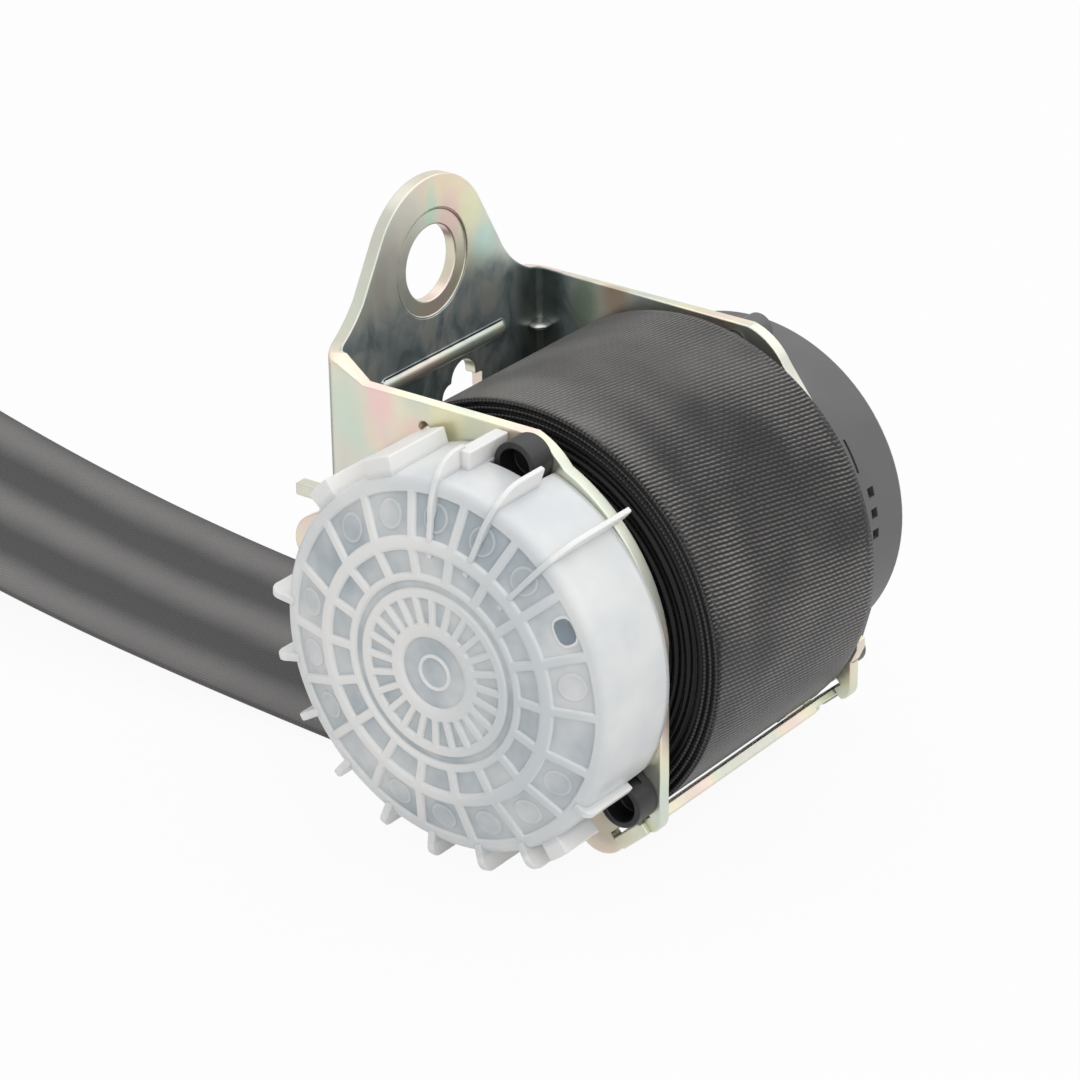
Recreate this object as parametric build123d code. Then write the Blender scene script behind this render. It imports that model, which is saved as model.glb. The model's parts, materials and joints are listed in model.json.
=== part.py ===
"""Seat belt retractor with its reel of webbing and the free strap.

A steel frame, bent to a U, is bolted up by the tab on its back plate. A spool turns between its two
flanges. A clock spring under the translucent cover winds the belt in, and a locking mechanism under
the grey cover on the far side stops the spool when the belt is jerked or the car brakes.

The frame of the part: origin at the centre of the tab's bolt hole on the back plate's rear face,
+X along the spool axis from the spring side to the locking side, +Y rearwards, +Z up. Millimetres.
"""

import os
from math import atan2, cos, hypot, radians, sin, tan

from build123d import *

# Webbing
web_width = 47.0
web_thick = 1.2
reel_r = 38.1               # the belt fully wound in
core_r = 14.0               # barrel of the spool
reel_gap = 0.05             # between barrel and innermost turn
cheek_thick = 1.8           # the spool's end cheeks
cheek_gap = 0.5             # cheek to webbing edge

# Frame
sheet = 2.5                 # thickness of the steel
side_gap = 1.7              # flange to the spool's cheek, where the bushes' lips are
frame_width = web_width + 2 * (cheek_gap + cheek_thick + side_gap + sheet)
flange_reach = 69.3         # rear face to the flanges' front edge
plate_drop = 19.2           # flange top to the back plate's lower edge
bend_radius = 3.6           # outside of the two bends
flange_lap = 0.2            # the flange outlines start this far past the bends
hole_rise = 11.2            # bolt hole above the flange top
hole_aside = 2.3            # bolt hole from the middle of the belt, towards the spring side
bolt_hole_r = 6.7
coin_r = 9.6                # coined ring round the bolt hole
coin_depth = 0.3
tab_r = 15.6                # rounded top of the tab
tooling_hole_r = 1.0
bead_drop = 6.9             # middle of the pressed bead across the back plate, from the flange top
bead_width = 3.2
bead_out = 1.0              # how far it stands out of the plate
bead_inset = 12.4           # its round ends from the flanges' outer faces
near_top_rise = 1.4         # near flange's top edge at the bend, over the flange top
top_from = 9.0              # flat part of the flanges' top edge, from the rear face
top_to = 44.0
top_turn = (47.6, 1.9)      # middle and end of the short curve that follows it, from rear face and top
top_end = (50.5, 4.7)
brow = (62.4, 14.3)         # middle of the long curve down to the straight front edge
edge_top = 31.0
edge_low = 55.3
far_top_to = 47.0           # the far flange is fuller at its upper front corner
far_top_turn = (51.3, 2.1)
far_top_end = (54.3, 5.6)
far_brow_top = (59.0, 11.8)
far_brow = (65.6, 20.6)
nub_from = 53.2             # small nub on its front edge, from the flange top
nub_to = 58.1
nub_out = 1.2
ear = (66.3, 63.1)          # front ear that holds the tie bar
ear_r = 2.9
ear_top = 58.1
lobe = (57.0, 67.7)         # lower lobe behind the tie bar
lobe_r = 5.2
tooling_hole = (21.9, 4.4)
tab_shoulder = (18.8, -1.3)     # corner under the tab, from the bolt hole, X and Z
tab_sweep = (22.1, -5.9)
tab_root = (27.6, -9.7)
window = (7.9, -24.0)       # odd-shaped window under the bead: its round part, X and Z
window_r = 3.4
window_foot = (8.0, 4.4)    # flat-ended part below the round one
window_side_r = 2.3

# Spool axis, from the rear face and from the flange top
axis_back = 37.8
axis_drop = 36.9

# Spool
journal_near_r = 8.0
journal_far_r = 10.0
running_gap = 0.06          # radial, shafts in their bushes
bush_wall = 1.4
bush_lip = 2.0
bush_lip_thick = 0.7
cheek_r = 21.0
key_across = 8.0            # square that drives the spring arbor
key_gap = 0.05
stub_r = 4.0                # carries the inertia disc
stub_past = 1.9             # how far the stub stands past the disc
anchor_pin_r = 2.2          # holds the webbing's inner end
slot_width = 3.2

# Spring side
base_thick = 2.0
base_r = 31.6
flange_hug_r = base_r + 2.4     # flange edge behind the cover's rim
cover_seat_gap = 0.2
cover_lip = 1.5             # the cover's wall where it goes round the base
cover_base_r = base_r + cover_seat_gap + cover_lip
cover_taper = 0.2           # the wall leans in by this, up to the rounded edge of the face
cover_edge_r = cover_base_r - cover_taper
cover_edge_depth = 15.2     # that place, from the flange
cover_round = 1.9           # width of the rounded edge
cover_rim_r = cover_edge_r - cover_round
cover_rim_depth = 16.9
cover_slope = 8.8           # width of the sloping part of the face
cover_flat_r = cover_rim_r - cover_slope
cover_depth = 19.4          # flange to the middle of the face
cover_wall = 1.3
cell_depth = 0.7            # recessed cells of the face, and below their radii from and to
outer_cells = (cover_flat_r + 1.2, cover_rim_r - 0.6)
inner_cells = (17.4, 21.4)
slot_cells = (8.6, 13.2)
groove = (14.7, 16.2)
eye_r = 6.4                 # recess in the middle of the face
gate_r = 3.2                # raised ring in it
rib_count = 18
rib_width = 1.5
slot_count = 24
slot_rib_width = 1.1
fin_thick = 1.4
fin_height = 3.5            # over the foot of the cover's wall
fin_r = cover_base_r + fin_height
fin_front = 17.3            # flange to the fins' round front ends
fin_end_r = 2.4
fin_tail = 5.0
long_fin_run = 5.7          # how far the long fins run in over the face
fin_angles = (174, 193, 211, 229, 247.5, 264.5, 282, 299)
low_fin_angle = -32.5
low_fin_height = 1.3
hook_angle = 49.0           # long fin that hooks over the flange's edge
hook_reach = 2.2
guard_angle = 70.5          # long fin beside the upper pin
lug_spans = ((107.0, 117.0), (131.5, 140.0), (305.0, 312.0))
lug_height = 2.9
lug_r = cover_base_r + lug_height
lug_front = 16.0            # flange to the lugs' front ends
lug_tail = (1.2, 2.0, 7.0)  # flange to their other ends
shelf_span = (87.3, 91.4)
shelf_depth = 10.5
notch_spans = ((71.3, 87.0), (-48.0, -30.5))
notch_depth = 5.8           # cut into the wall from the flange side, round the pin bosses
pin_boss_r = 4.1
pin_boss_length = 5.2
pin_boss_bore_r = 2.9
pin_r = 1.9
pin_gap = 0.1
pin_past = 0.9              # how far a pin's end stands past the sheet
spring_strip = 0.5
spring_width = 11.0
spring_pitch = 3.2          # one turn to the next
spring_turns = 7
spring_post_r = 1.2
arbor_r = 6.0

# Pins that hold both plastic sides: distance from the spool axis and angle, 0 forwards, 90 up
pin_top = (base_r + 2.3, 79.0)
pin_front = (base_r + 3.2, -39.7)
pin_rear = (base_r - 2.1, 215.0)

# Tie bar between the lower front corners
bar_gap = 0.5               # its inner face to the reel
bar_inner = reel_r + bar_gap
bar_thick = 2.0
bar_neck = 1.4              # thinned where it passes the far flange
bar_neck_length = 5.0
bar_slope = 1.5             # length of the step to the thin part
bar_angle = -48.0
bar_from = -4.5             # along the tangent, from the line at bar_angle
bar_to = 2.3
bar_proud = 1.1
bar_slit = 0.8

# Locking side
drum_r = base_r
drum_depth = 13.5
drum_wall = 1.5
drum_round = 0.8            # rounded edge of its end
far_boss_r = 2.9            # bosses of its pins
far_boss_length = 5.0
tooth_count = 24            # lock wheel, and the inertia disc too
wheel_tip_r = 21.0
wheel_root_r = 18.9
wheel_thick = 3.0
wheel_off = 0.7             # flange to wheel
wheel_key = 11.0
pawl_pivot = (27.6, -101.0)
pawl_pin_r = 2.5
pawl_swing = 7.0            # degrees, from rest to full engagement
pawl_gap_angle = -60.0      # the tooth gap that it falls into
pawl_eye_r = 4.6
pawl_thick = 2.2
pawl_off = 0.9              # flange to pawl
disc_off = 5.3              # flange to inertia disc
disc_thick = 2.0
disc_tip_r = 23.0
disc_root_r = 21.4
disc_ring = 1.6             # extra thickness of its heavy rim
spring_wire = 0.3           # radius of the two wire springs
ball_r = 3.5
ball_back = 43.6            # ball from the rear face
ball_drop = 69.3            # ball from the flange top
ball_off = 7.8              # flange to the ball's centre
dish_r = 9.0
dish_gap = 0.1
cup_gap = 0.25              # ball to the lever's cup
cup_r = 3.2
lever_pivot_back = 30.6
lever_pivot_drop = 64.6
lever_thick = 1.3
lever_width = 4.6
lever_gap_angle = -60.0
lever_pin_r = 0.8
ear_off = 4.1               # flange to the nearer ear of the lever
pocket_front = 63.5         # sensor pocket of the grey cover, from the rear face
pocket_floor = 76.0
pocket_rear = 22.0
pocket_back_top = 69.2      # top edge of the sensor block's back plate, from the flange top
block_gap = 0.2             # sensor block to the cover's walls
port_angles = (2.0, 9.0, 16.0)      # small openings in the drum's wall
port_half_angle = 1.6
port_span = (3.4, 5.2)      # from the flange
parting_angles = (23.5, 35.0)       # short groove in the drum's wall
parting_span = (2.1, 2.7)
parting_depth = 0.7

# Free strap: the route of its middle, as distance behind the spool axis and height over its start
strap_gap = 0.3             # strap to the underside of the reel
strap_route = [
    (1.7, 0.0),
    (37.8, 1.6),
    (74.8, 3.7),
    (111.8, 6.9),
    (147.8, 12.5),
    (182.8, 20.5),
    (216.8, 30.4),
    (249.8, 41.9),
    (281.3, 54.3),
]
stitched = 30.0             # doubled length behind the loop
stitch_gap = 0.1
anchor_thick = 3.0
anchor_bar = 5.5            # bar that the loop goes round
anchor_slot = 6.5
anchor_wing = 5.0           # steel beside the slot
anchor_hole_r = 6.0
anchor_eye_r = 14.0
anchor_reach = 24.0         # slot to bolt hole
loop_gap = 0.25

# Places worked out from the sizes above
reel_mid = hole_aside
near_face = reel_mid - frame_width / 2
far_face = reel_mid + frame_width / 2
near_inner = near_face + sheet
far_inner = far_face - sheet
flange_top = -hole_rise
axis_y = -axis_back
axis_z = flange_top - axis_drop
reel_near = reel_mid - web_width / 2
reel_far = reel_mid + web_width / 2


def place(forward, height):
    """A point of a side view, from its distance before the rear face and height over the flange top."""
    return (-forward, flange_top + height)


def polar(radius, angle):
    """A point of a side view round the spool axis: angle 0 is forwards, 90 is up."""
    a = radians(angle)
    return (axis_y - radius * cos(a), axis_z + radius * sin(a))


def side_plane(x):
    """The side view's plane at x: its first axis is Y and its second is Z."""
    return Plane(origin=(x, 0, 0), x_dir=(0, 1, 0), z_dir=(1, 0, 0))


def slab(face, x_from, x_to):
    """A flat side-view shape, made solid between two values of x."""
    return extrude(side_plane(x_from) * face, x_to - x_from)


def disc(radius, x_from, x_to, centre=(axis_y, axis_z)):
    """A cylinder along X."""
    return slab(Pos(centre[0], centre[1]) * Circle(radius), x_from, x_to)


def ring(outer, inner, x_from, x_to, centre=(axis_y, axis_z)):
    return disc(outer, x_from, x_to, centre) - disc(inner, x_from - 1, x_to + 1, centre)


def outline(*edges):
    """A face from edges given in order."""
    return make_face(Curve() + list(edges))


def turned(profile):
    """Turns a profile of (x, radius) points round the spool axis."""
    plane = Plane(origin=(0, axis_y, axis_z), x_dir=(1, 0, 0), z_dir=(0, -1, 0))
    return revolve(plane * make_face(Polyline(*profile, close=True)), Axis((0, axis_y, axis_z), (1, 0, 0)))


def spoke(angle, width, r_from, r_to, x_from, x_to):
    """A radial bar of constant width."""
    bar = Pos((r_from + r_to) / 2, 0) * Rectangle(r_to - r_from, width)
    return slab(Pos(axis_y, axis_z) * Rot(0, 0, 180 - angle) * bar, x_from, x_to)


def fin(angle, face, thick):
    """A flat plate that stands on a radius: the face is drawn in (x, radius), thick is across it."""
    a = radians(angle)
    plane = Plane(origin=(0, axis_y, axis_z), x_dir=(1, 0, 0), z_dir=(0, -sin(a), -cos(a)))
    return extrude(plane * face, thick / 2, both=True)


def bar_point(radial, along):
    """A point of the tie bar's section: distance from the spool axis and along the tangent."""
    a = radians(bar_angle)
    return (axis_y - radial * cos(a) - along * sin(-a), axis_z + radial * sin(a) + along * cos(a))


def bar_section(r_from, r_to, t_from, t_to):
    corners = ((r_from, t_from), (r_to, t_from), (r_to, t_to), (r_from, t_to))
    return make_face(Polyline(*[bar_point(*corner) for corner in corners], close=True))


def below(spot):
    """A point of a side view, from its distance before the rear face and below the flange top."""
    return place(spot[0], -spot[1])


def near_crown():
    """The near flange's upper front corner, from the flat top to the straight front edge."""
    return [
        ThreePointArc(place(top_to, 0), below(top_turn), below(top_end)),
        ThreePointArc(below(top_end), below(brow), place(flange_reach, -edge_top)),
    ]


def far_crown():
    """The far flange's upper front corner."""
    return [
        ThreePointArc(place(far_top_to, 0), below(far_top_turn), below(far_top_end)),
        Line(below(far_top_end), below(far_brow_top)),
        ThreePointArc(below(far_brow_top), below(far_brow), place(flange_reach, -edge_top)),
    ]


def nub_face():
    """The nub on the far flange's front edge."""
    crest = flange_reach + nub_out
    return make_face(Polyline(
        place(flange_reach - 1, -nub_from),
        place(flange_reach, -nub_from),
        place(crest, -nub_from - 0.5),
        place(crest, -nub_from - 2.2),
        place(flange_reach, -nub_to),
        place(flange_reach - 1, -nub_to),
        close=True,
    ))


def flange_face(crown, rise):
    """Side view of one flange, with the prong and the ear that stand behind the back plate."""
    inner = bend_radius + flange_lap
    front = place(flange_reach, -edge_top)
    edge_end = place(flange_reach, -edge_low)
    ear_front = place(ear[0] + ear_r, -ear_top)
    ear_side = place(ear[0] + ear_r, -ear[1])
    hug = 25.0
    hug_start = (axis_y + flange_hug_r * cos(radians(hug)), axis_z - flange_hug_r * sin(radians(hug)))
    hug_end = polar(flange_hug_r, -62)
    body = outline(
        Line(place(inner, rise), place(top_from, 0)),
        Line(place(top_from, 0), crown[0] @ 0),
        *crown,
        Line(front, edge_end),
        Line(edge_end, ear_front),
        Line(ear_front, ear_side),
        Line(ear_side, below(ear)),
        Line(below(ear), below(lobe)),
        Line(below(lobe), hug_end),
        ThreePointArc(hug_end, polar(flange_hug_r, -110), hug_start),
        Line(hug_start, place(-5.2, -36.0)),
        ThreePointArc(place(-5.2, -36.0), place(-7.0, -31.2), place(-4.9, -27.9)),
        Line(place(-4.9, -27.9), place(-2.6, -26.6)),
        ThreePointArc(place(-2.6, -26.6), place(-1.5, -25.1), place(-2.9, -24.0)),
        Line(place(-2.9, -24.0), place(-6.5, -24.0)),
        Line(place(-6.5, -24.0), place(-6.5, -21.7)),
        Line(place(-6.5, -21.7), place(-0.4, -21.7)),
        Line(place(-0.4, -21.7), place(1.0, -20.1)),
        Line(place(1.0, -20.1), place(inner, -20.1)),
        Line(place(inner, -20.1), place(inner, rise)),
    )
    body += Pos(*below(ear)) * Circle(ear_r)
    body += Pos(*below(lobe)) * Circle(lobe_r)
    notch = bar_section(bar_inner - 0.1, bar_inner + 9, bar_from - 0.1, bar_to + 0.1)
    slit = bar_section(bar_inner - 0.1 - bar_slit, bar_inner + 0.1, bar_from - 0.9, bar_to + 1.9)
    face = body - notch - slit
    for radius, angle in (pin_top, pin_front, pin_rear):
        face -= Pos(*polar(radius, angle)) * Circle(pin_r + pin_gap)
    return face - Pos(*below(tooling_hole)) * Circle(tooling_hole_r)


def tab_face():
    """Front view of the back plate and its tab, X to the right and Z up."""
    a = radians(30)
    arc_r = (tab_r * cos(a), tab_r * sin(a))
    low = flange_top - plate_drop
    far_top = flange_top + 0.2
    near_top = (near_face, flange_top + near_top_rise + 1.0)
    near_sweep = (-tab_sweep[0], tab_sweep[1] + 1.0)
    near_shoulder = (-tab_shoulder[0], tab_shoulder[1])
    return outline(
        ThreePointArc((-arc_r[0], arc_r[1]), (0, tab_r), arc_r),
        Line(arc_r, tab_shoulder),
        ThreePointArc(tab_shoulder, tab_sweep, tab_root),
        Line(tab_root, (far_face, far_top)),
        Line((far_face, far_top), (far_face, low)),
        Line((far_face, low), (near_face, low)),
        Line((near_face, low), near_top),
        ThreePointArc(near_top, near_sweep, near_shoulder),
        Line(near_shoulder, (-arc_r[0], arc_r[1])),
    )


def window_face():
    """The odd-shaped window under the bead of the back plate."""
    x, z = window
    low = z - window_r - window_foot[1] / 2 + 3.0
    return (
        Pos(x, z) * Circle(window_r)
        + Pos(x + 1.3, low) * Rectangle(*window_foot)
        + Pos(x + 1.3 - window_foot[0] / 2 - 1.0, low + 0.3) * Circle(window_side_r)
    )


def bead_form():
    """The round-ended rod whose nose is the bead, standing out of the back plate's rear face."""
    half = bead_width / 2
    radius = (half * half + bead_out * bead_out) / (2 * bead_out)
    length = frame_width - 2 * bead_inset - bead_width
    rod = Rot(0, 90, 0) * Cylinder(radius, length)
    for side in (-1, 1):
        rod += Pos(side * length / 2, 0, 0) * Sphere(radius)
    return Pos(reel_mid, radius - bead_out, flange_top - bead_drop) * rod


def frame():
    leg = bend_radius + 2 * flange_lap
    outside = Pos(reel_mid, -leg / 2) * Rectangle(frame_width, leg)
    outside = fillet(outside.vertices().group_by(Axis.Y)[-1], bend_radius)
    inside = Pos(reel_mid, -sheet - leg / 2) * Rectangle(frame_width - 2 * sheet, leg)
    inside = fillet(inside.vertices().group_by(Axis.Y)[-1], bend_radius - sheet)
    bent = outside - inside
    height = tab_r + hole_rise + plate_drop
    upper = Pos(0, 0, flange_top - plate_drop) * extrude(bent, height)
    front_view = Plane(origin=(0, 5, 0), x_dir=(1, 0, 0), z_dir=(0, -1, 0))
    upper &= extrude(front_view * tab_face(), 20)
    before_plate = Pos(reel_mid, -sheet - 5, flange_top) * Box(frame_width, 10, height)
    upper += (Pos(0, -sheet, 0) * bead_form()) & before_plate
    upper -= bead_form()
    across = Plane(origin=(0, 1, 0), x_dir=(1, 0, 0), z_dir=(0, -1, 0))
    upper -= extrude(across * Circle(bolt_hole_r), 10)
    upper -= extrude(across * window_face(), 10)
    front_skin = Plane(origin=(0, -sheet + coin_depth, 0), x_dir=(1, 0, 0), z_dir=(0, -1, 0))
    upper -= extrude(front_skin * Circle(coin_r), 2)
    near = slab(flange_face(near_crown(), near_top_rise), near_face, near_inner)
    far = slab(flange_face(far_crown(), 0) + nub_face(), far_inner, far_face)
    near -= disc(journal_near_r + bush_wall + 2 * running_gap, near_face - 1, near_inner + 1)
    far -= disc(journal_far_r + bush_wall + 2 * running_gap, far_inner - 1, far_face + 1)
    far -= disc(pawl_pin_r, far_inner - 1, far_face + 1, polar(*pawl_pivot))
    return upper + near + far


def tie_bar():
    """A flat bar, thinner where it passes the far flange, with a small head at each end."""
    ends = (near_face - bar_proud, far_face + bar_proud)
    thick = bar_inner + bar_thick
    step = far_inner - bar_neck_length
    bar = slab(bar_section(bar_inner, bar_inner + bar_neck, bar_from, bar_to), *ends)
    corners = [(ends[0], bar_inner), (ends[0], thick), (step - bar_slope, thick), (step, bar_inner)]
    full = slab(bar_section(bar_inner, thick, bar_from, bar_to), *ends)
    bar += full & fin(bar_angle, make_face(Polyline(*corners, close=True)), 60)
    for x, depth in ((ends[0], bar_thick), (far_face, bar_neck)):
        head = bar_section(bar_inner + 0.3, bar_inner + depth + 0.5, bar_from + 0.5, bar_to + 0.6)
        bar += slab(head, x, x + bar_proud)
    return bar


def spring_base():
    """Black plate under the cover, with the hollow bosses whose pins are pushed into the flange."""
    base = disc(base_r, near_face - base_thick, near_face)
    for spot in (pin_top, pin_front):
        base += spoke(spot[1], 2 * pin_boss_r, base_r - 4, spot[0], near_face - base_thick, near_face)
        base += disc(pin_boss_r, near_face - pin_boss_length, near_face, polar(*spot))
        base -= disc(pin_boss_bore_r, near_face - pin_boss_length - 1, near_face - 1.2, polar(*spot))
    for spot in (pin_top, pin_front, pin_rear):
        base += disc(pin_r, near_face - 0.2, near_inner + pin_past, polar(*spot))
    post = (axis_y - spring_end_r(), axis_z + spring_post_r + 0.1)
    base += disc(spring_post_r, near_face - base_thick - spring_width, near_face, post)
    return base - disc(journal_near_r + bush_wall + 1.6, near_face - base_thick - 1, near_face + 1)


def face_layer(r_from, r_to, ribs, width):
    """The recesses between two radii of the cover's face, as one cutter split by radial ribs."""
    top = cover_face_x(0) - 2
    layer = turned([
        (cover_face_x(r_from) + cell_depth, r_from),
        (cover_face_x(r_to) + cell_depth, r_to),
        (top, r_to),
        (top, r_from),
    ])
    for i in range(ribs):
        layer -= spoke(i * 360 / ribs, width, r_from - 1, r_to + 1, top - 1, near_face)
    return layer


def cover_face_x(radius):
    """X of the cover's face at a radius: flat in the middle, then a cone out to the rim."""
    mid = near_face - cover_depth
    out = max(0, radius - cover_flat_r) / (cover_rim_r - cover_flat_r)
    return mid + (cover_depth - cover_rim_depth) * out


def cover_wall_r(x):
    """Outer radius of the cover's wall at x."""
    depth = near_face - x
    return cover_base_r - (cover_base_r - cover_edge_r) * depth / cover_edge_depth


def spring_cover():
    """The translucent cup over the clock spring."""
    foot = near_face - cover_seat_gap
    edge_x = near_face - cover_edge_depth
    ledge = near_face - base_thick - 0.2
    floor = cover_wall + cell_depth
    cover = turned([
        (cover_face_x(0), 0),
        (cover_face_x(0), cover_flat_r),
        (cover_face_x(cover_rim_r), cover_rim_r),
        (cover_face_x(cover_rim_r) + 0.3, cover_rim_r + 1.2),
        (edge_x - 0.5, cover_edge_r - 0.3),
        (edge_x, cover_edge_r),
        (foot, cover_wall_r(foot)),
        (foot, base_r + 0.2),
        (ledge, base_r + 0.2),
        (ledge, base_r - 1.2),
        (edge_x + cover_wall, cover_rim_r - 0.9),
        (cover_face_x(0) + floor, cover_flat_r),
        (cover_face_x(0) + floor, 0),
    ])
    for angle in fin_angles:
        cover += fin(angle, short_fin(fin_r), fin_thick)
    cover += fin(hook_angle, long_fin(near_face + hook_reach), fin_thick)
    cover += fin(guard_angle, long_fin(near_face - fin_tail), fin_thick)
    cover += fin(low_fin_angle, short_fin(cover_base_r + low_fin_height), fin_thick)
    for span, tail in zip(lug_spans, lug_tail):
        cover += sector(*span, cover_edge_r - 1, lug_r, near_face - lug_front, near_face - tail)
    shelf_r = lug_r + 0.2
    cover += sector(*shelf_span, cover_edge_r - 1, shelf_r, near_face - shelf_depth, foot)
    cover -= face_layer(*outer_cells, rib_count, rib_width)
    cover -= face_layer(*inner_cells, rib_count, rib_width)
    cover -= face_layer(*slot_cells, slot_count, slot_rib_width)
    cover -= ring(groove[1], groove[0], cover_face_x(0) - 1, cover_face_x(0) + cell_depth)
    cover -= disc(eye_r, cover_face_x(0) - 1, cover_face_x(0) + cell_depth)
    cover += ring(gate_r, gate_r - 0.6, cover_face_x(0) + 0.3, cover_face_x(0) + cell_depth + 0.2)
    for span in notch_spans:
        cover -= sector(*span, base_r - 3, 42, near_face - notch_depth, near_face + 1)
    return cover


def short_fin(tip_r):
    """Side of a fin on the cover's wall, as (x, radius): its front end is round."""
    front = near_face - fin_front
    tail = near_face - fin_tail
    return fillet_front([
        (front, tip_r),
        (tail, tip_r),
        (tail, cover_wall_r(tail) - 0.8),
        (near_face - cover_edge_depth, cover_edge_r - 1.0),
        (front + 0.8, cover_rim_r - 0.2),
        (front, cover_rim_r + 0.3),
    ])


def long_fin(tail):
    """Side of a fin that starts on the face and runs over its edge and along the wall."""
    front = near_face - fin_front
    start_r = cover_rim_r - long_fin_run
    points = [
        (front, fin_r),
        (tail, fin_r),
        (tail, cover_wall_r(tail) + (1.0 if tail > near_face else -0.8)),
    ]
    if tail > near_face:
        points += [(near_face - 0.6, cover_wall_r(tail) + 1.0), (near_face - 0.6, cover_base_r - 0.8)]
    points += [
        (near_face - cover_edge_depth, cover_edge_r - 1.0),
        (cover_face_x(start_r) + 0.6, start_r),
        (cover_face_x(start_r) - 0.5, start_r + 0.5),
        (front - 0.3, cover_rim_r),
    ]
    return fillet_front(points)


def fillet_front(points):
    """A face with its first corner, the fin's front end, made round."""
    face = make_face(Polyline(*points, close=True))
    corner = face.vertices().sort_by_distance((points[0][0], points[0][1], 0))[0]
    return fillet(corner, min(fin_end_r, 0.7 * (points[0][1] - points[-1][1])))


def sector(a_from, a_to, r_from, r_to, x_from, x_to):
    mid = (a_from + a_to) / 2
    face = outline(
        ThreePointArc(polar(r_from, a_from), polar(r_from, mid), polar(r_from, a_to)),
        Line(polar(r_from, a_to), polar(r_to, a_to)),
        ThreePointArc(polar(r_to, a_to), polar(r_to, mid), polar(r_to, a_from)),
        Line(polar(r_to, a_from), polar(r_from, a_from)),
    )
    return slab(face, x_from, x_to)


def spring_end_r():
    """Distance of the clock spring's outer end from the spool axis."""
    return arbor_r + reel_gap + spring_strip / 2 + spring_turns * spring_pitch


def clock_spring():
    """A flat spiral of half circles, each half turn a little wider than the last."""
    outer = []
    inner = []
    radius = arbor_r + reel_gap + spring_strip / 2
    start = axis_y - radius
    side = 1
    for _ in range(2 * spring_turns):
        centre = start + side * radius
        for row, r in ((outer, radius + spring_strip / 2), (inner, radius - spring_strip / 2)):
            ends = ((centre - side * r, axis_z), (centre + side * r, axis_z))
            row.append(ThreePointArc(ends[0], (centre, axis_z + side * r), ends[1]))
        start += side * 2 * radius
        side = -side
        radius += spring_pitch / 2
    caps = [Line(outer[0] @ 0, inner[0] @ 0), Line(outer[-1] @ 1, inner[-1] @ 1)]
    x_to = near_face - base_thick - 1.0
    return slab(make_face(Curve() + outer + inner + caps), x_to - spring_width, x_to)


def spring_arbor():
    x_from = near_face - base_thick - spring_width - 2.0
    arbor = disc(arbor_r, x_from, near_face - 1.5)
    arbor += disc(arbor_r + 2.6, near_face - base_thick - 0.9, near_face - 1.5)
    key = key_across / 2 + key_gap
    return arbor - slab(Pos(axis_y, axis_z) * Rectangle(2 * key, 2 * key), near_face - 12.5, near_face)


def spool():
    near_cheek = reel_near - cheek_gap
    far_cheek = reel_far + cheek_gap
    body = disc(core_r, near_cheek - cheek_thick, far_cheek + cheek_thick)
    body += disc(cheek_r, near_cheek - cheek_thick, near_cheek)
    body += disc(cheek_r, far_cheek, far_cheek + cheek_thick)
    body += disc(journal_near_r, near_face - 1.3, near_cheek)
    body += disc(journal_far_r, far_cheek, far_face + wheel_off)
    body += slab(Pos(axis_y, axis_z) * Rectangle(key_across, key_across), near_face - 12.0, near_face)
    seat = Pos(axis_y, axis_z) * Rectangle(wheel_key, wheel_key)
    body += slab(seat, far_face, far_face + wheel_off + wheel_thick + 0.4)
    body += disc(stub_r, far_face, stub_end())
    mouth = Pos(axis_y - core_r / 2, axis_z) * Rectangle(core_r + 2, slot_width)
    body -= slab(mouth, reel_near, reel_far)
    body -= disc(anchor_pin_r + web_thick + 0.3, reel_near - 6, reel_far)
    return body


def stub_end():
    return far_face + disc_off + disc_thick + stub_past


def webbing_pin():
    return disc(anchor_pin_r, reel_near, reel_far - 0.5)


def webbing_tail():
    """The belt's inner end: a loop round the pin that comes out through the slot of the barrel."""
    loop = ring(anchor_pin_r + web_thick + 0.1, anchor_pin_r + 0.1, reel_near + 0.2, reel_far - 0.2)
    middle = axis_y - (core_r + anchor_pin_r + 1) / 2
    out = Pos(middle, axis_z) * Rectangle(core_r - anchor_pin_r - 1.1, 2 * web_thick)
    way_out = slab(out, reel_near + 0.2, reel_far - 0.2) - disc(anchor_pin_r + 0.1, near_face, far_face)
    return loop + way_out


def webbing_reel():
    return ring(reel_r, core_r + reel_gap, reel_near, reel_far)


def bush(journal, x_from, x_to, lip_from):
    """A bearing bush in its flange, with a lip on the flange's inner face."""
    bore = journal + running_gap
    body = ring(bore + bush_wall, bore, x_from, x_to)
    return body + ring(bore + bush_wall + bush_lip, bore, lip_from, lip_from + bush_lip_thick)


def ratchet_face(tip, root, lean):
    """A ratchet's outline: each tooth has one steep face, and a long back that falls to the next root."""
    step = 360 / tooth_count
    points = []
    for i in range(tooth_count):
        a = i * step
        points.append(polar(root, a))
        points.append(polar(tip, a + lean))
        points.append(polar(tip, a + lean + step * 0.16))
    return make_face(Polyline(*points, close=True))


def lock_wheel():
    x_from = far_face + wheel_off
    wheel = slab(ratchet_face(wheel_tip_r, wheel_root_r, 1.0), x_from, x_from + wheel_thick)
    key = wheel_key + 2 * key_gap
    wheel -= slab(Pos(axis_y, axis_z) * Rectangle(key, key), x_from - 1, x_from + wheel_thick + 1)
    return wheel


def turn_about(shape, centre, angle):
    """Turns a solid about an axis along X through a point of the side view."""
    return shape.rotate(Axis((0, centre[0], centre[1]), (1, 0, 0)), angle)


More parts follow.
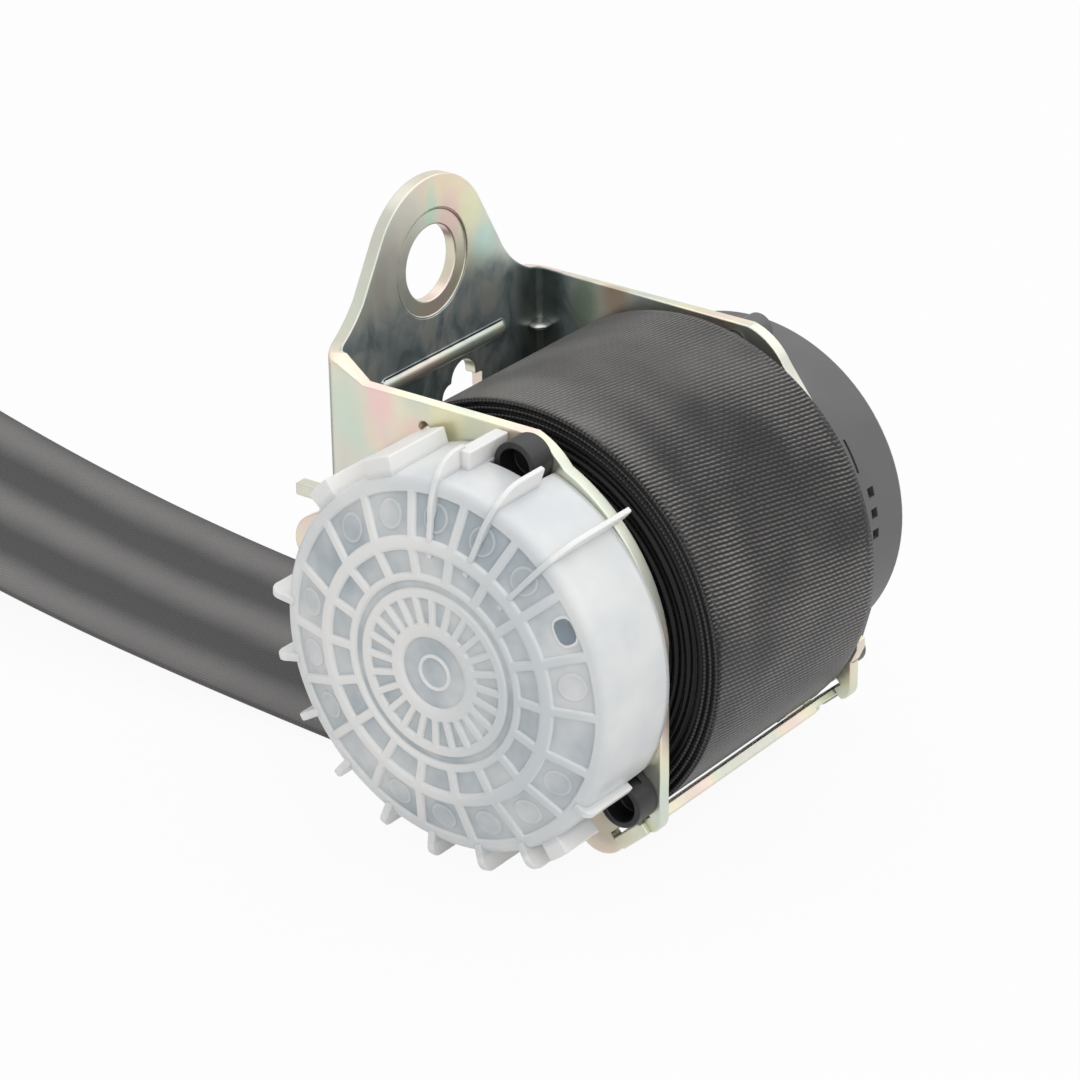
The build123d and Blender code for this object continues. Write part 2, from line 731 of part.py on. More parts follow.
def lock_pawl():
    """Drawn engaged, with its nose in a tooth gap, then swung back to rest."""
    pivot = polar(*pawl_pivot)
    gap = pawl_gap_angle
    nose = polar(wheel_root_r + 0.35, gap - 0.9)
    heel = polar(wheel_tip_r + 0.6, gap - 12.0)
    brow = polar(wheel_tip_r + 2.6, gap + 1.4)
    crest = polar(wheel_root_r + 1.6, gap - 0.2)
    back = polar(wheel_tip_r + 5.2, gap - 8.0)
    low = polar(pawl_pivot[0] + 3.4, pawl_pivot[1] + 6)
    high = polar(pawl_pivot[0] - 4.2, pawl_pivot[1] + 7)
    blade = make_face(Polyline(nose, crest, brow, back, low, pivot, high, heel, close=True))
    x_from = far_face + pawl_off
    pawl = slab(blade, x_from, x_from + pawl_thick) + disc(pawl_eye_r, x_from, x_from + pawl_thick, pivot)
    pawl -= disc(pawl_pin_r + running_gap, x_from - 1, x_from + pawl_thick + 1, pivot)
    return turn_about(pawl, pivot, pawl_swing)


def pawl_pin():
    pivot = polar(*pawl_pivot)
    x_to = far_face + pawl_off + pawl_thick + 0.2
    pin = disc(pawl_pin_r, far_inner - 0.6, x_to, pivot)
    pin += disc(pawl_pin_r + 1.0, x_to, x_to + 0.5, pivot)
    return pin + disc(pawl_pin_r + 0.8, far_inner - 0.6, far_inner, pivot)


def inertia_disc():
    x_from = far_face + disc_off
    body = slab(ratchet_face(disc_tip_r, disc_root_r, 1.0), x_from, x_from + disc_thick)
    body += ring(disc_root_r - 1.2, disc_root_r - 4.4, x_from, x_from + disc_thick + disc_ring)
    body += disc(stub_r + 2.2, x_from, x_from + disc_thick + 0.6)
    for i in range(4):
        hole = polar(11.5, 45 + i * 90)
        body -= disc(3.4, x_from - 1, x_from + disc_thick + 1, hole)
    return body - disc(stub_r + running_gap, x_from - 1, x_from + disc_thick + 2)


def disc_spring():
    """An open ring of wire in the gap between the lock wheel and the inertia disc."""
    x = far_face + wheel_off + wheel_thick + 1.0
    path = side_plane(x) * (Pos(axis_y, axis_z) * CenterArc((0, 0), stub_r + 3.6, 20, 300))
    return sweep(Plane(path @ 0, z_dir=path % 0) * Circle(spring_wire), path)


def retaining_clip():
    x_from = far_face + disc_off + disc_thick + 0.8
    clip = ring(stub_r + 1.8, stub_r + 0.02, x_from, x_from + 0.7)
    return clip - spoke(90, 3.0, 0, stub_r + 3, x_from - 1, x_from + 2)


def pawl_spring():
    """An open ring of wire round the pawl's pin, between the flange and the pawl."""
    pivot = polar(*pawl_pivot)
    x = far_face + pawl_off / 2
    path = side_plane(x) * (Pos(*pivot) * CenterArc((0, 0), pawl_pin_r + 1.0, 150, 290))
    return sweep(Plane(path @ 0, z_dir=path % 0) * Circle(spring_wire), path)


def pocket_face(inset):
    """The grey cover's outline in side view: the drum, and the sensor pocket below it."""
    pocket = make_face(Polyline(
        place(pocket_front, -46.0),
        place(pocket_front, -55.5),
        place(pocket_front - 2.6, -65.0),
        place(pocket_front - 11.0, -pocket_floor),
        place(pocket_rear + 4.0, -pocket_floor),
        place(pocket_rear, -70.0),
        place(pocket_rear, -56.0),
        place(40.0, -50.0),
        close=True,
    ))
    whole = Pos(axis_y, axis_z) * Circle(drum_r) + pocket
    if inset == 0:
        return whole
    return offset(whole, -inset, kind=Kind.INTERSECTION)


def locking_cover():
    """The grey cover: a drum over the lock wheel, and a pocket under it for the sensor."""
    end = far_face + drum_depth
    outer = slab(pocket_face(0), far_face, end)
    outer = fillet(outer.edges().filter_by_position(Axis.X, end - 0.01, end + 0.01), drum_round)
    cover = outer - slab(pocket_face(drum_wall), far_face - 1, end - drum_wall)
    for spot in (pin_top, pin_front, pin_rear):
        boss = disc(far_boss_r, far_face, far_face + far_boss_length, polar(*spot))
        root = min(spot[0], drum_r)
        foot_r = root - drum_wall
        boss += spoke(spot[1], 2 * far_boss_r, foot_r, spot[0], far_face, far_face + far_boss_length)
        cover += boss - disc(disc_tip_r + 1.2, far_face - 1, end)
        cover += disc(pin_r, far_inner - pin_past, far_face + 1, polar(*spot))
    for angle in port_angles:
        span = (angle - port_half_angle, angle + port_half_angle)
        cover -= sector(*span, drum_r - 4, drum_r + 2, far_face + port_span[0], far_face + port_span[1])
    groove_r = drum_r - parting_depth
    groove_from, groove_to = [far_face + depth for depth in parting_span]
    cover -= sector(*parting_angles, groove_r, drum_r + 1, groove_from, groove_to)
    guard = ring(stub_r + 2.4, stub_r + 0.6, stub_end(), end - drum_wall + 0.2)
    head = bar_section(bar_inner - block_gap, bar_inner + bar_thick + 2, bar_from - 1, bar_to + 1)
    return cover + guard - slab(head, far_face - 1, far_face + bar_proud + block_gap)


def ball_centre():
    return place(ball_back, -ball_drop)


def lever_pivot():
    return place(lever_pivot_back, -lever_pivot_drop)


def sensor_block():
    """Holds the ball in a shallow dish and the lever between two ears, and closes the pocket's back."""
    floor = flange_top - pocket_floor + drum_wall + block_gap
    x_from = far_face + block_gap
    x_to = far_face + drum_depth - drum_wall - block_gap
    ball = ball_centre()
    pivot = lever_pivot()
    top = ball[1] - ball_r + 1.1
    base_face = make_face(Polyline(
        (ball[0] - 6.0, floor),
        (ball[0] - 6.0, top),
        (pivot[0] + 3.0, top),
        (pivot[0] + 3.0, floor),
        close=True,
    ))
    ear_face = make_face(Polyline(
        (pivot[0] - 4.4, top - 0.5),
        (pivot[0] - 1.7, pivot[1] + 1.5),
        (pivot[0] + 1.7, pivot[1] + 1.5),
        (pivot[0] + 2.6, top - 0.5),
        close=True,
    ))
    block = slab(base_face, x_from, x_to) + slab(plate_face(floor), x_from, x_from + 1.2)
    half = lever_width / 2 + block_gap
    block += slab(ear_face, far_face + ear_off, lever_mid() - half)
    block += slab(ear_face, lever_mid() + half, x_to)
    block -= Pos(far_face + ball_off, ball[0], ball[1] + dish_r - ball_r) * Sphere(dish_r + dish_gap)
    return block - disc(lever_pin_r, x_from - 1, x_to + 1, pivot)


def plate_face(floor):
    """Side view of the sensor block's back plate, a little inside the pocket."""
    top = flange_top - pocket_back_top
    inside = pocket_face(drum_wall + block_gap)
    low = Pos(axis_y, (floor + top) / 2) * Rectangle(80, top - floor)
    return inside & low


def sensor_ball():
    ball = ball_centre()
    return Pos(far_face + ball_off, ball[0], ball[1]) * Sphere(ball_r)


def lever_mid():
    """X of the middle of the sensor lever, in line with the inertia disc's teeth."""
    return far_face + ball_off


def sensor_lever():
    """A rocker: the ball lifts its cup, and its tip rises into the inertia disc's teeth."""
    pivot = lever_pivot()
    ball = ball_centre()
    under = ball[1] + ball_r + cup_gap
    tip = polar(disc_tip_r + 0.9, lever_gap_angle - 1.0)
    x_from = lever_mid() - lever_width / 2
    x_to = lever_mid() + lever_width / 2
    arm = make_face(Polyline(
        (pivot[0], pivot[1] - lever_thick / 2),
        (pivot[0] - 3.0, under),
        (tip[0] - 0.4, under),
        (tip[0] - 0.4, tip[1] - 1.2),
        tip,
        (tip[0] + 1.0, tip[1] - 1.6),
        (tip[0] + 1.2, under + lever_thick),
        (pivot[0] - 3.0, under + lever_thick),
        (pivot[0], pivot[1] + lever_thick),
        close=True,
    ))
    beam = Pos(0, 0, under + lever_thick / 2) * Box(400, 400, lever_thick)
    finger_from = far_face + disc_off - 0.4
    finger_zone = Pos(0, tip[0], tip[1]) * Box(400, 5, 20)
    finger = slab(arm, finger_from, finger_from + disc_thick + 0.8) & finger_zone
    wide = slab(arm, x_from, x_to) & (beam + disc(4.0, x_from - 1, x_to + 1, pivot))
    lever = wide + finger + disc(1.5, x_from, x_to, pivot)
    reach = (ball_r + cup_gap) / sin(radians(45))
    mouth = under - 1.1
    cup = Pos(lever_mid(), ball[0], (mouth + under + 0.3) / 2) * Cylinder(cup_r, under + 0.3 - mouth)
    hollow_top = under + 0.75
    apex = ball[1] + reach
    hollow = Pos(lever_mid(), ball[0], (mouth + hollow_top) / 2) * Cone(
        apex - mouth, apex - hollow_top, hollow_top - mouth
    )
    lever = lever + cup - hollow
    return lever - disc(lever_pin_r + running_gap, x_from - 1, x_to + 1, pivot)


def lever_pin():
    x_to = far_face + drum_depth - drum_wall - block_gap
    return disc(lever_pin_r, far_face + ear_off, x_to, lever_pivot())


def strap_points():
    start_z = axis_z - reel_r - strap_gap - web_thick / 2
    return [(axis_y + back, start_z + rise) for back, rise in strap_route]


def strap_radii(points):
    """One radius for each corner: 0.45 of the shorter run over the tangent of half the turn."""
    radii = []
    for a, b, c in zip(points, points[1:], points[2:]):
        run_in = (b[0] - a[0], b[1] - a[1])
        run_out = (c[0] - b[0], c[1] - b[1])
        turn = atan2(run_out[1], run_out[0]) - atan2(run_in[1], run_in[0])
        shorter = min(hypot(*run_in), hypot(*run_out))
        radii.append(0.45 * shorter / tan(abs(turn) / 2))
    return radii


def band(path, start, ahead, wide, thick):
    """A flat band swept along a path in the side view."""
    section = Plane(origin=start, x_dir=(1, 0, 0), z_dir=ahead) * Rectangle(wide, thick)
    return sweep(section, path)


def strap_path():
    points = strap_points()
    return FilletPolyline(*[(reel_mid, y, z) for y, z in points], radius=strap_radii(points))


def free_strap():
    path = strap_path()
    strap = band(path, path @ 0, path % 0, web_width, web_thick)
    share = strap.volume / (path.length * web_width * web_thick)
    radii = ", ".join(f"{r:.0f}" for r in strap_radii(strap_points()))
    print(f"strap: length {path.length:.1f} mm, volume over section times length {share:.4f}")
    print(f"strap: arc radii {radii} mm")
    return strap


def strap_end():
    """The plane at the strap's end: X across the belt, Y along it, Z out of its upper face."""
    path = strap_path()
    ahead = path % 1
    return Plane(origin=path @ 1, x_dir=(1, 0, 0), z_dir=(0, -ahead.Z, ahead.Y))


def loop_height():
    return anchor_thick / 2 + loop_gap + web_thick / 2


def end_loop():
    """The belt goes round the anchor plate's bar, comes back below itself and is sewn down."""
    drop = web_thick + stitch_gap
    mid = -drop / 2
    high = mid + loop_height()
    low = mid - loop_height()
    turn_u = 10.0 + anchor_bar
    lead = 8.5
    path = FilletPolyline((0, 0, 0), (0, lead, high), (0, turn_u, high), radius=6.0)
    bend = ThreePointArc((0, turn_u, high), (0, turn_u + loop_height(), mid), (0, turn_u, low))
    corners = [(0, turn_u, low), (0, lead, low), (0, 0, -drop), (0, -stitched, -drop)]
    back = FilletPolyline(*corners, radius=6.0)
    route = Wire(Curve() + path + bend + back)
    first = route % 0
    section = Plane(origin=(0, 0, 0), x_dir=(1, 0, 0), z_dir=first) * Rectangle(web_width, web_thick)
    loop = sweep(section, route, transition=Transition.RIGHT)
    return strap_end() * loop


def anchor_plate():
    bar_start = 10.0
    slot_start = bar_start + anchor_bar
    slot_end = slot_start + anchor_slot
    half = web_width / 2 + 1.0
    side = half + anchor_wing
    eye = slot_end + anchor_reach
    body = Pos(0, (bar_start + slot_end + 5) / 2) * Rectangle(2 * side, slot_end + 5 - bar_start)
    body = fillet(body.vertices(), 3.5)
    neck = make_face(Polyline(
        (-side + 3, slot_end + 4),
        (-anchor_eye_r * 0.93, eye + 5),
        (anchor_eye_r * 0.93, eye + 5),
        (side - 3, slot_end + 4),
        close=True,
    ))
    face = body + neck + Pos(0, eye) * Circle(anchor_eye_r)
    slot = Pos(0, (slot_start + slot_end) / 2) * Rectangle(2 * half, anchor_slot)
    slot = fillet(slot.vertices(), 2.0)
    face = face - slot - Pos(0, eye) * Circle(anchor_hole_r)
    mid = -(web_thick + stitch_gap) / 2
    return strap_end() * (Pos(0, 0, mid - anchor_thick / 2) * extrude(face, anchor_thick))


os.makedirs("parts", exist_ok=True)

parts = {
    "frame": frame(),
    "tie_bar": tie_bar(),
    "near_bush": bush(journal_near_r, near_face, near_inner, near_inner),
    "far_bush": bush(journal_far_r, far_inner, far_face, far_inner - bush_lip_thick),
    "spring_base": spring_base(),
    "spring_cover": spring_cover(),
    "clock_spring": clock_spring(),
    "spring_arbor": spring_arbor(),
    "spool": spool(),
    "webbing_pin": webbing_pin(),
    "webbing_tail": webbing_tail(),
    "webbing_reel": webbing_reel(),
    "lock_wheel": lock_wheel(),
    "lock_pawl": lock_pawl(),
    "pawl_pin": pawl_pin(),
    "pawl_spring": pawl_spring(),
    "inertia_disc": inertia_disc(),
    "disc_spring": disc_spring(),
    "retaining_clip": retaining_clip(),
    "locking_cover": locking_cover(),
    "sensor_block": sensor_block(),
    "sensor_ball": sensor_ball(),
    "sensor_lever": sensor_lever(),
    "lever_pin": lever_pin(),
    "free_strap": free_strap(),
    "end_loop": end_loop(),
    "anchor_plate": anchor_plate(),
}

for name, shape in parts.items():
    export_step(shape, f"parts/{name}.step")
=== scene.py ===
"""Looks of a seat belt retractor: zinc plated frame, milky spring cover, webbing reel and free strap."""

import json

import bmesh
import bpy
import numpy as np
from mathutils import Matrix, Vector


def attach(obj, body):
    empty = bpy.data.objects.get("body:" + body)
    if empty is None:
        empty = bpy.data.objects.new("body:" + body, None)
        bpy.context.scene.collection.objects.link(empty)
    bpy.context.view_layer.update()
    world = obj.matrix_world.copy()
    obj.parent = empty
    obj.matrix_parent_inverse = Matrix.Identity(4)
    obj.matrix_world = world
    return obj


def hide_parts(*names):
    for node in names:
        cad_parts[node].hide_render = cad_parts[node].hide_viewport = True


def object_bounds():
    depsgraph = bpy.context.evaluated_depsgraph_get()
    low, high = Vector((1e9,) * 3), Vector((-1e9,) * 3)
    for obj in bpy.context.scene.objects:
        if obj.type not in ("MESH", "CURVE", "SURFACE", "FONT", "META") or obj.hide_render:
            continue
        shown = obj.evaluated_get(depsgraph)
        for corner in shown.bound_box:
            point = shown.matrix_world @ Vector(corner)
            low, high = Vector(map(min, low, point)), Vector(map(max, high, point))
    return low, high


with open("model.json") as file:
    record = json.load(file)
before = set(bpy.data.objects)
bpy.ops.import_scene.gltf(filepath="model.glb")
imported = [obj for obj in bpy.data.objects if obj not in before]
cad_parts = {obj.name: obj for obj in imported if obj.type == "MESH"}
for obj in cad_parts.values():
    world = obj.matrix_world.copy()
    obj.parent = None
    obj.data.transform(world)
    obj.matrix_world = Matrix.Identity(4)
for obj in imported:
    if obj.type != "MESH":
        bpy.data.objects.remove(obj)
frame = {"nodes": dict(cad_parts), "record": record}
cad_box = [list(corner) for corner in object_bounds()]

MM = 0.001
TURN = 2 * np.pi

# Points within this many metres of each other count as one
TOUCH = 1e-6

# Sharp edges, and the width in millimetres that rounds them
SHARP = np.radians(35)
EASE = 0.3

# Places and sizes of the model, in millimetres from the middle of the bolt hole
NEAR_FACE = -27.7
FAR_FACE = 32.3
STEEL = 2.5
DRUM_END = 45.8
ANCHOR_THICK = 3.0
AXIS_Y = -37.8
AXIS_Z = -48.1

# Webbing: the belt, the reel, its ribs and its knotted edge
WEB_WIDTH = 47.0
WEB_THICK = 1.2
REEL_MID = 2.3
REEL_R = 38.1
CORE_R = 14.05
RIB_PITCH = 0.78
RIB_SLANT = 0.158
REEL_TURN = 307 * RIB_PITCH
FLOAT_PITCH = 1.25
FLOAT_SLANT = 123 * FLOAT_PITCH / REEL_TURN
TICK_PITCH = 0.7507
BAND_PITCH = WEB_WIDTH / 2.5
BEAD_PITCH = 0.75

# Beads of the outer turns: depth under the reel's surface, and how far in from its side
SELVEDGES = ((0.42, 0.30), (1.62, 0.36), (2.82, 0.42))

# Spring cover: depths are outwards from the near flange's face, angles in degrees round the spool axis
COVER_DEPTH = 19.4
FLAT_R, RIM_R, EDGE_R, FOOT_R = 22.4, 31.2, 33.1, 33.3
RIM_DEPTH, EDGE_DEPTH, FOOT_DEPTH = 16.9, 15.2, 0.2
INNER_DEPTH = 17.3
RIBS, RIB_HALF = 18, 0.75
SLOTS, SLOT_HALF = 24, 0.55
CELL = 0.7
NOTCHES = ((71.3, 87.0), (-48.0, -30.5))
NOTCH_DEPTH = 5.6
FIN_R, FIN_THICK, BLADE_THICK = 36.8, 1.4, 1.0
FIN_FRONT, FIN_TAIL = 17.3, 5.0
FIN_ANGLES = (174, 193, 211, 229, 247.5, 264.5, 282, 299)
LOW_FIN_R, LOW_FIN_ANGLE = 34.6, -32.5

# Radii of what is sunk in the cover's face: cells between ribs, slots, a groove, and the hub round its ring
CELL_ROWS = ((23.6, 30.6), (17.4, 21.4))
SLOT_ROW = (8.6, 13.2)
GROOVE = (14.7, 16.2)
HUB_R = 6.2
HUB_RING = (2.6, 3.2)

# Blades: name, where the tail ends from the near flange's face, angle
BLADES = (("hook_fin", 2.2, 49.0), ("guard_fin", -5.0, 70.5), ("shelf_blade", -9.0, 91.0))

# Blocks on the wall: name, first and last angle, outer radius, depth of the front and of the tail
LUGS = (("lug_0", 107.0, 117.0, 36.2, 16.0, 1.2), ("lug_1", 131.5, 140.0, 36.2, 16.0, 2.0),
        ("lug_2", 305.0, 312.0, 36.2, 16.0, 7.0), ("shelf", 87.3, 91.4, 36.4, 10.5, 0.2))

# Ejector marks, the cells that have none, and the small opening, with half its size out and aside
MARK_R = 27.1
UNMARKED = (1, 7, 11, 17)
PORT_R, PORT_ANGLE, PORT_OUT, PORT_ASIDE = 28.7, 29.0, 1.9, 2.6

# A ring of points nearer the spool axis than this has the angles of a ring at this radius
LEAST_R = 6.0


def lerp(a, b, t):
    return a + (b - a) * t


def smooth(edge0, edge1, x):
    """Zero below edge0, one above edge1, and a cubic ease between them."""
    t = np.clip((x - edge0) / (edge1 - edge0), 0.0, 1.0)
    return t * t * (3.0 - 2.0 * t)


def band(x, low, high, outer, inner):
    """One from low to high and zero beyond, eased from outer outside each end to inner inside it."""
    return smooth(low - outer, low + inner, x) * (1 - smooth(high - inner, high + outer, x))


def around(x, r, angle):
    """Points at x, radius and angle in degrees round the spool axis: 0 is forwards and 90 is up."""
    a = np.radians(angle)
    return np.stack(np.broadcast_arrays(x, AXIS_Y - r * np.cos(a), AXIS_Z + r * np.sin(a)), -1)


# Meshes

def new_object(name, data):
    thing = bpy.data.objects.new(name, data)
    bpy.context.scene.collection.objects.link(thing)
    return thing


def mesh_object(name, points, faces, flat=False):
    """A mesh object from points in millimetres, and a list of point numbers for each face."""
    mesh = bpy.data.meshes.new(name)
    mesh.from_pydata((points.reshape(-1, 3) * MM).tolist(), [], faces)
    mesh.polygons.foreach_set("use_smooth", np.full(len(mesh.polygons), not flat))
    mesh.update()
    return new_object(name, mesh)


def grid_faces(rows, columns, close_rows, close_columns):
    """Quads between neighbouring points of a grid, whose last row or column may join the first."""
    i = np.arange(rows if close_rows else rows - 1)
    j = np.arange(columns if close_columns else columns - 1)
    i, j = (a.ravel() for a in np.meshgrid(i, j, indexing="ij"))
    i2, j2 = (i + 1) % rows, (j + 1) % columns
    return np.stack([i * columns + j, i2 * columns + j, i2 * columns + j2, i * columns + j2], 1)


def surface(name, points, close_rows=False, close_columns=False, uv=None, turn=0.0, flip=False,
            caps=False, flat=False):
    """A mesh object from a grid of points in millimetres: points[row, column] is x, y, z.

    Where the last row joins the first, turn is what one whole turn adds to the second UV.
    """
    rows, columns = points.shape[:2]
    faces = grid_faces(rows, columns, close_rows, close_columns)
    if flip:
        faces = faces[:, ::-1]
    faces = faces.tolist()
    if caps:
        first = list(range(columns))
        last = [(rows - 1) * columns + k for k in range(columns)]
        faces += [first, last[::-1]] if flip else [first[::-1], last]
    thing = mesh_object(name, points, faces, flat)
    if uv is not None:
        mesh = thing.data
        layer = mesh.uv_layers.new(name="UVMap")
        corners = np.empty(len(mesh.loops), dtype=np.int32)
        mesh.loops.foreach_get("vertex_index", corners)
        spread = uv.reshape(-1, 2)[corners]
        in_last_row = np.arange(len(corners)) >= 4 * (rows - 1) * columns
        spread[in_last_row & (corners < columns), 1] += turn
        layer.data.foreach_set("uv", spread.ravel())
    return thing


def keep_values(thing, name, values):
    """Keeps a value for each point of a mesh as an attribute, which the finishes read."""
    layer = thing.data.attributes.new(name, "FLOAT", "POINT")
    layer.data.foreach_set("value", np.ascontiguousarray(values, dtype=np.float32).ravel())


def weld(thing):
    """Joins points that lie on each other, as at a pole, and turns all faces outwards."""
    shell = bmesh.new()
    shell.from_mesh(thing.data)
    bmesh.ops.remove_doubles(shell, verts=shell.verts, dist=TOUCH)
    bmesh.ops.recalc_face_normals(shell, faces=shell.faces)
    shell.to_mesh(thing.data)
    shell.free()
    return thing


def ball(rings, sides):
    """A grid of points on a ball of radius 1: rings from pole to pole, and sides round its last axis."""
    rise = np.linspace(-np.pi / 2, np.pi / 2, rings)[:, None]
    turn = np.linspace(0, TURN, sides, endpoint=False)[None, :]
    x, y = np.cos(rise) * np.cos(turn), np.cos(rise) * np.sin(turn)
    return np.stack(np.broadcast_arrays(x, y, np.sin(rise)), -1)


def rounding(thing, segments):
    """A bevel on a piece's edges, with its normals kept smooth across the flat faces."""
    step = thing.modifiers.new("rounding", "BEVEL")
    step.width = EASE * MM
    step.segments = segments
    step.harden_normals = True
    return step


def joined(name, things):
    """Several meshes as one object."""
    bpy.ops.object.select_all(action="DESELECT")
    for thing in things:
        thing.select_set(True)
    bpy.context.view_layer.objects.active = things[0]
    bpy.ops.object.join()
    things[0].name = name
    return things[0]


# Finishes

class Nodes:
    """A node tree under construction: add() makes one node, and an input given as a socket is linked."""

    def __init__(self, owner, output):
        owner.use_nodes = True
        self.tree = owner.node_tree
        self.tree.nodes.clear()
        self.surface = self.tree.nodes.new("ShaderNode" + output).inputs["Surface"]

    def feed(self, socket, value):
        """Links an input to another node's socket, or sets its value; a colour is red, green and blue."""
        if isinstance(value, bpy.types.NodeSocket):
            self.tree.links.new(value, socket)
        elif socket.type == "RGBA":
            socket.default_value = (*value, 1.0)
        else:
            socket.default_value = value

    def add(self, kind, inputs=None, out=0, **settings):
        made = self.tree.nodes.new("ShaderNode" + kind)
        for key, value in settings.items():
            setattr(made, key, value)
        for key, value in (inputs or {}).items():
            self.feed(made.inputs[key], value)
        return made.outputs[out]

    def math(self, operation, a, b=0.0, c=0.0):
        return self.add("Math", {0: a, 1: b, 2: c}, operation=operation)

    def times(self, *values):
        product = values[0]
        for value in values[1:]:
            product = self.math("MULTIPLY", product, value)
        return product

    def seen(self):
        """One for rays of the camera, mirrors and clear pieces, and then one for the camera's alone."""
        path = self.add("LightPath").node.outputs
        others = self.math("MAXIMUM", path["Is Glossy Ray"], path["Is Transmission Ray"])
        return self.math("MAXIMUM", path["Is Camera Ray"], others), path["Is Camera Ray"]


class Finish(Nodes):
    """A material under construction, whose patterns are measured in millimetres."""

    def __init__(self, name):
        self.material = bpy.data.materials.new(name)
        super().__init__(self.material, "OutputMaterial")
        self.place = self.add("TexCoord").node.outputs

    def spot(self, scale=(1, 1, 1), shift=(0, 0, 0), source="Object"):
        """Coordinates in millimetres, stretched and then shifted."""
        unit = 1 / MM if source == "Object" else 1.0
        scaled = tuple(unit * s for s in scale)
        return self.add("Mapping", {"Vector": self.place[source], "Scale": scaled, "Location": shift})

    def parts(self, vector):
        """The three parts of a vector."""
        return tuple(self.add("SeparateXYZ", {0: vector}).node.outputs)

    def length(self, vector):
        return self.add("VectorMath", {0: vector}, out="Value", operation="LENGTH")

    def noise(self, scale, detail=2.0, rough=0.5, distort=0.0, vector=None):
        return self.add("TexNoise", {"Vector": vector or self.spot(), "Scale": scale, "Detail": detail,
                                     "Roughness": rough, "Distortion": distort}, out="Fac")

    def wave(self, value, pitch):
        """The sine of a length, with one period to each pitch."""
        return self.math("SINE", self.times(value, TURN / pitch))

    def step(self, value, low, high, out_low=0.0, out_high=1.0):
        """Eases from one value to another while the given one goes from low to high."""
        return self.add("MapRange", {"Value": value, "From Min": low, "From Max": high, "To Min": out_low,
                                     "To Max": out_high}, interpolation_type="SMOOTHSTEP")

    def within(self, value, low, high, ease):
        """One from low to high and zero beyond, with each end eased over twice the given length."""
        return self.times(self.step(value, low - ease, low + ease),
                          self.step(value, high - ease, high + ease, 1.0, 0.0))

    def ramp(self, value, *stops):
        """The colour between those of the stops, each a value and its colour."""
        colour = self.add("ValToRGB", {"Fac": value})
        elements = colour.node.color_ramp.elements
        while len(elements) < len(stops):
            elements.new(1.0)
        for element, (position, hue) in zip(elements, stops):
            element.position = position
            element.color = (*hue, 1.0)
        return colour

    def blend(self, share, a, b):
        """A colour that goes from a to b as the share goes from zero to one."""
        return self.add("Mix", {0: share, 6: a, 7: b}, out=2, data_type="RGBA")

    def bump(self, height, distance, strength=1.0):
        return self.add("Bump", {"Height": height, "Distance": distance * MM, "Strength": strength})

    def done(self, **inputs):
        """The material, with these inputs of its shader: an underscore stands for a space."""
        named = {key.replace("_", " "): value for key, value in inputs.items()}
        self.feed(self.surface, self.add("BsdfPrincipled", named))
        return self.material


# Tints of the zinc skin, some of them darkened as painted shade: centre and reach in millimetres, colour,
# share
ZINC_TINTS_AND_SHADE = (
    ((2.6, -2.5, 13.2), (9.0, 3.0, 4.5), (0.92, 0.74, 0.54), 0.75),
    ((0.1, -2.5, 10.0), (1.7, 3.0, 6.0), (0.56, 0.76, 0.62), 0.75),
    ((5.1, -2.5, 7.1), (3.6, 3.0, 5.0), (0.88, 0.60, 0.56), 0.65),
    ((10.7, -2.5, 7.2), (4.0, 3.0, 6.5), (0.82, 0.84, 0.54), 0.65),
    ((14.7, -2.5, -0.5), (4.5, 3.0, 4.5), (0.56, 0.80, 0.74), 0.65),
    ((-10.9, -2.5, -0.4), (1.8, 3.0, 7.0), (0.80, 0.82, 0.74), 0.6),
    # Darker copies of the far flange's inner tints, as painted shade
    ((29.8, -12.7, -15.3), (2.0, 3.5, 7.0), (0.30, 0.42, 0.29), 0.7),
    ((29.8, -19.2, -12.8), (2.0, 4.0, 6.0), (0.56, 0.38, 0.27), 0.75),
    ((-27.7, -5.7, -15.6), (2.0, 4.0, 10.0), (0.62, 0.74, 0.62), 0.7),
    ((-27.7, -13.3, -12.8), (2.0, 3.4, 5.0), (0.92, 0.62, 0.60), 0.7),
    ((-27.7, -20.0, -17.0), (2.0, 4.0, 4.0), (0.92, 0.64, 0.58), 0.6),
    ((-27.7, -27.4, -12.8), (2.0, 5.5, 4.5), (0.90, 0.84, 0.54), 0.7),
    # Painted shadow on the lobes low on the near flange
    ((-27.7, -57.5, -79.0), (2.5, 7.0, 6.5), (0.40, 0.38, 0.29), 0.75),
)


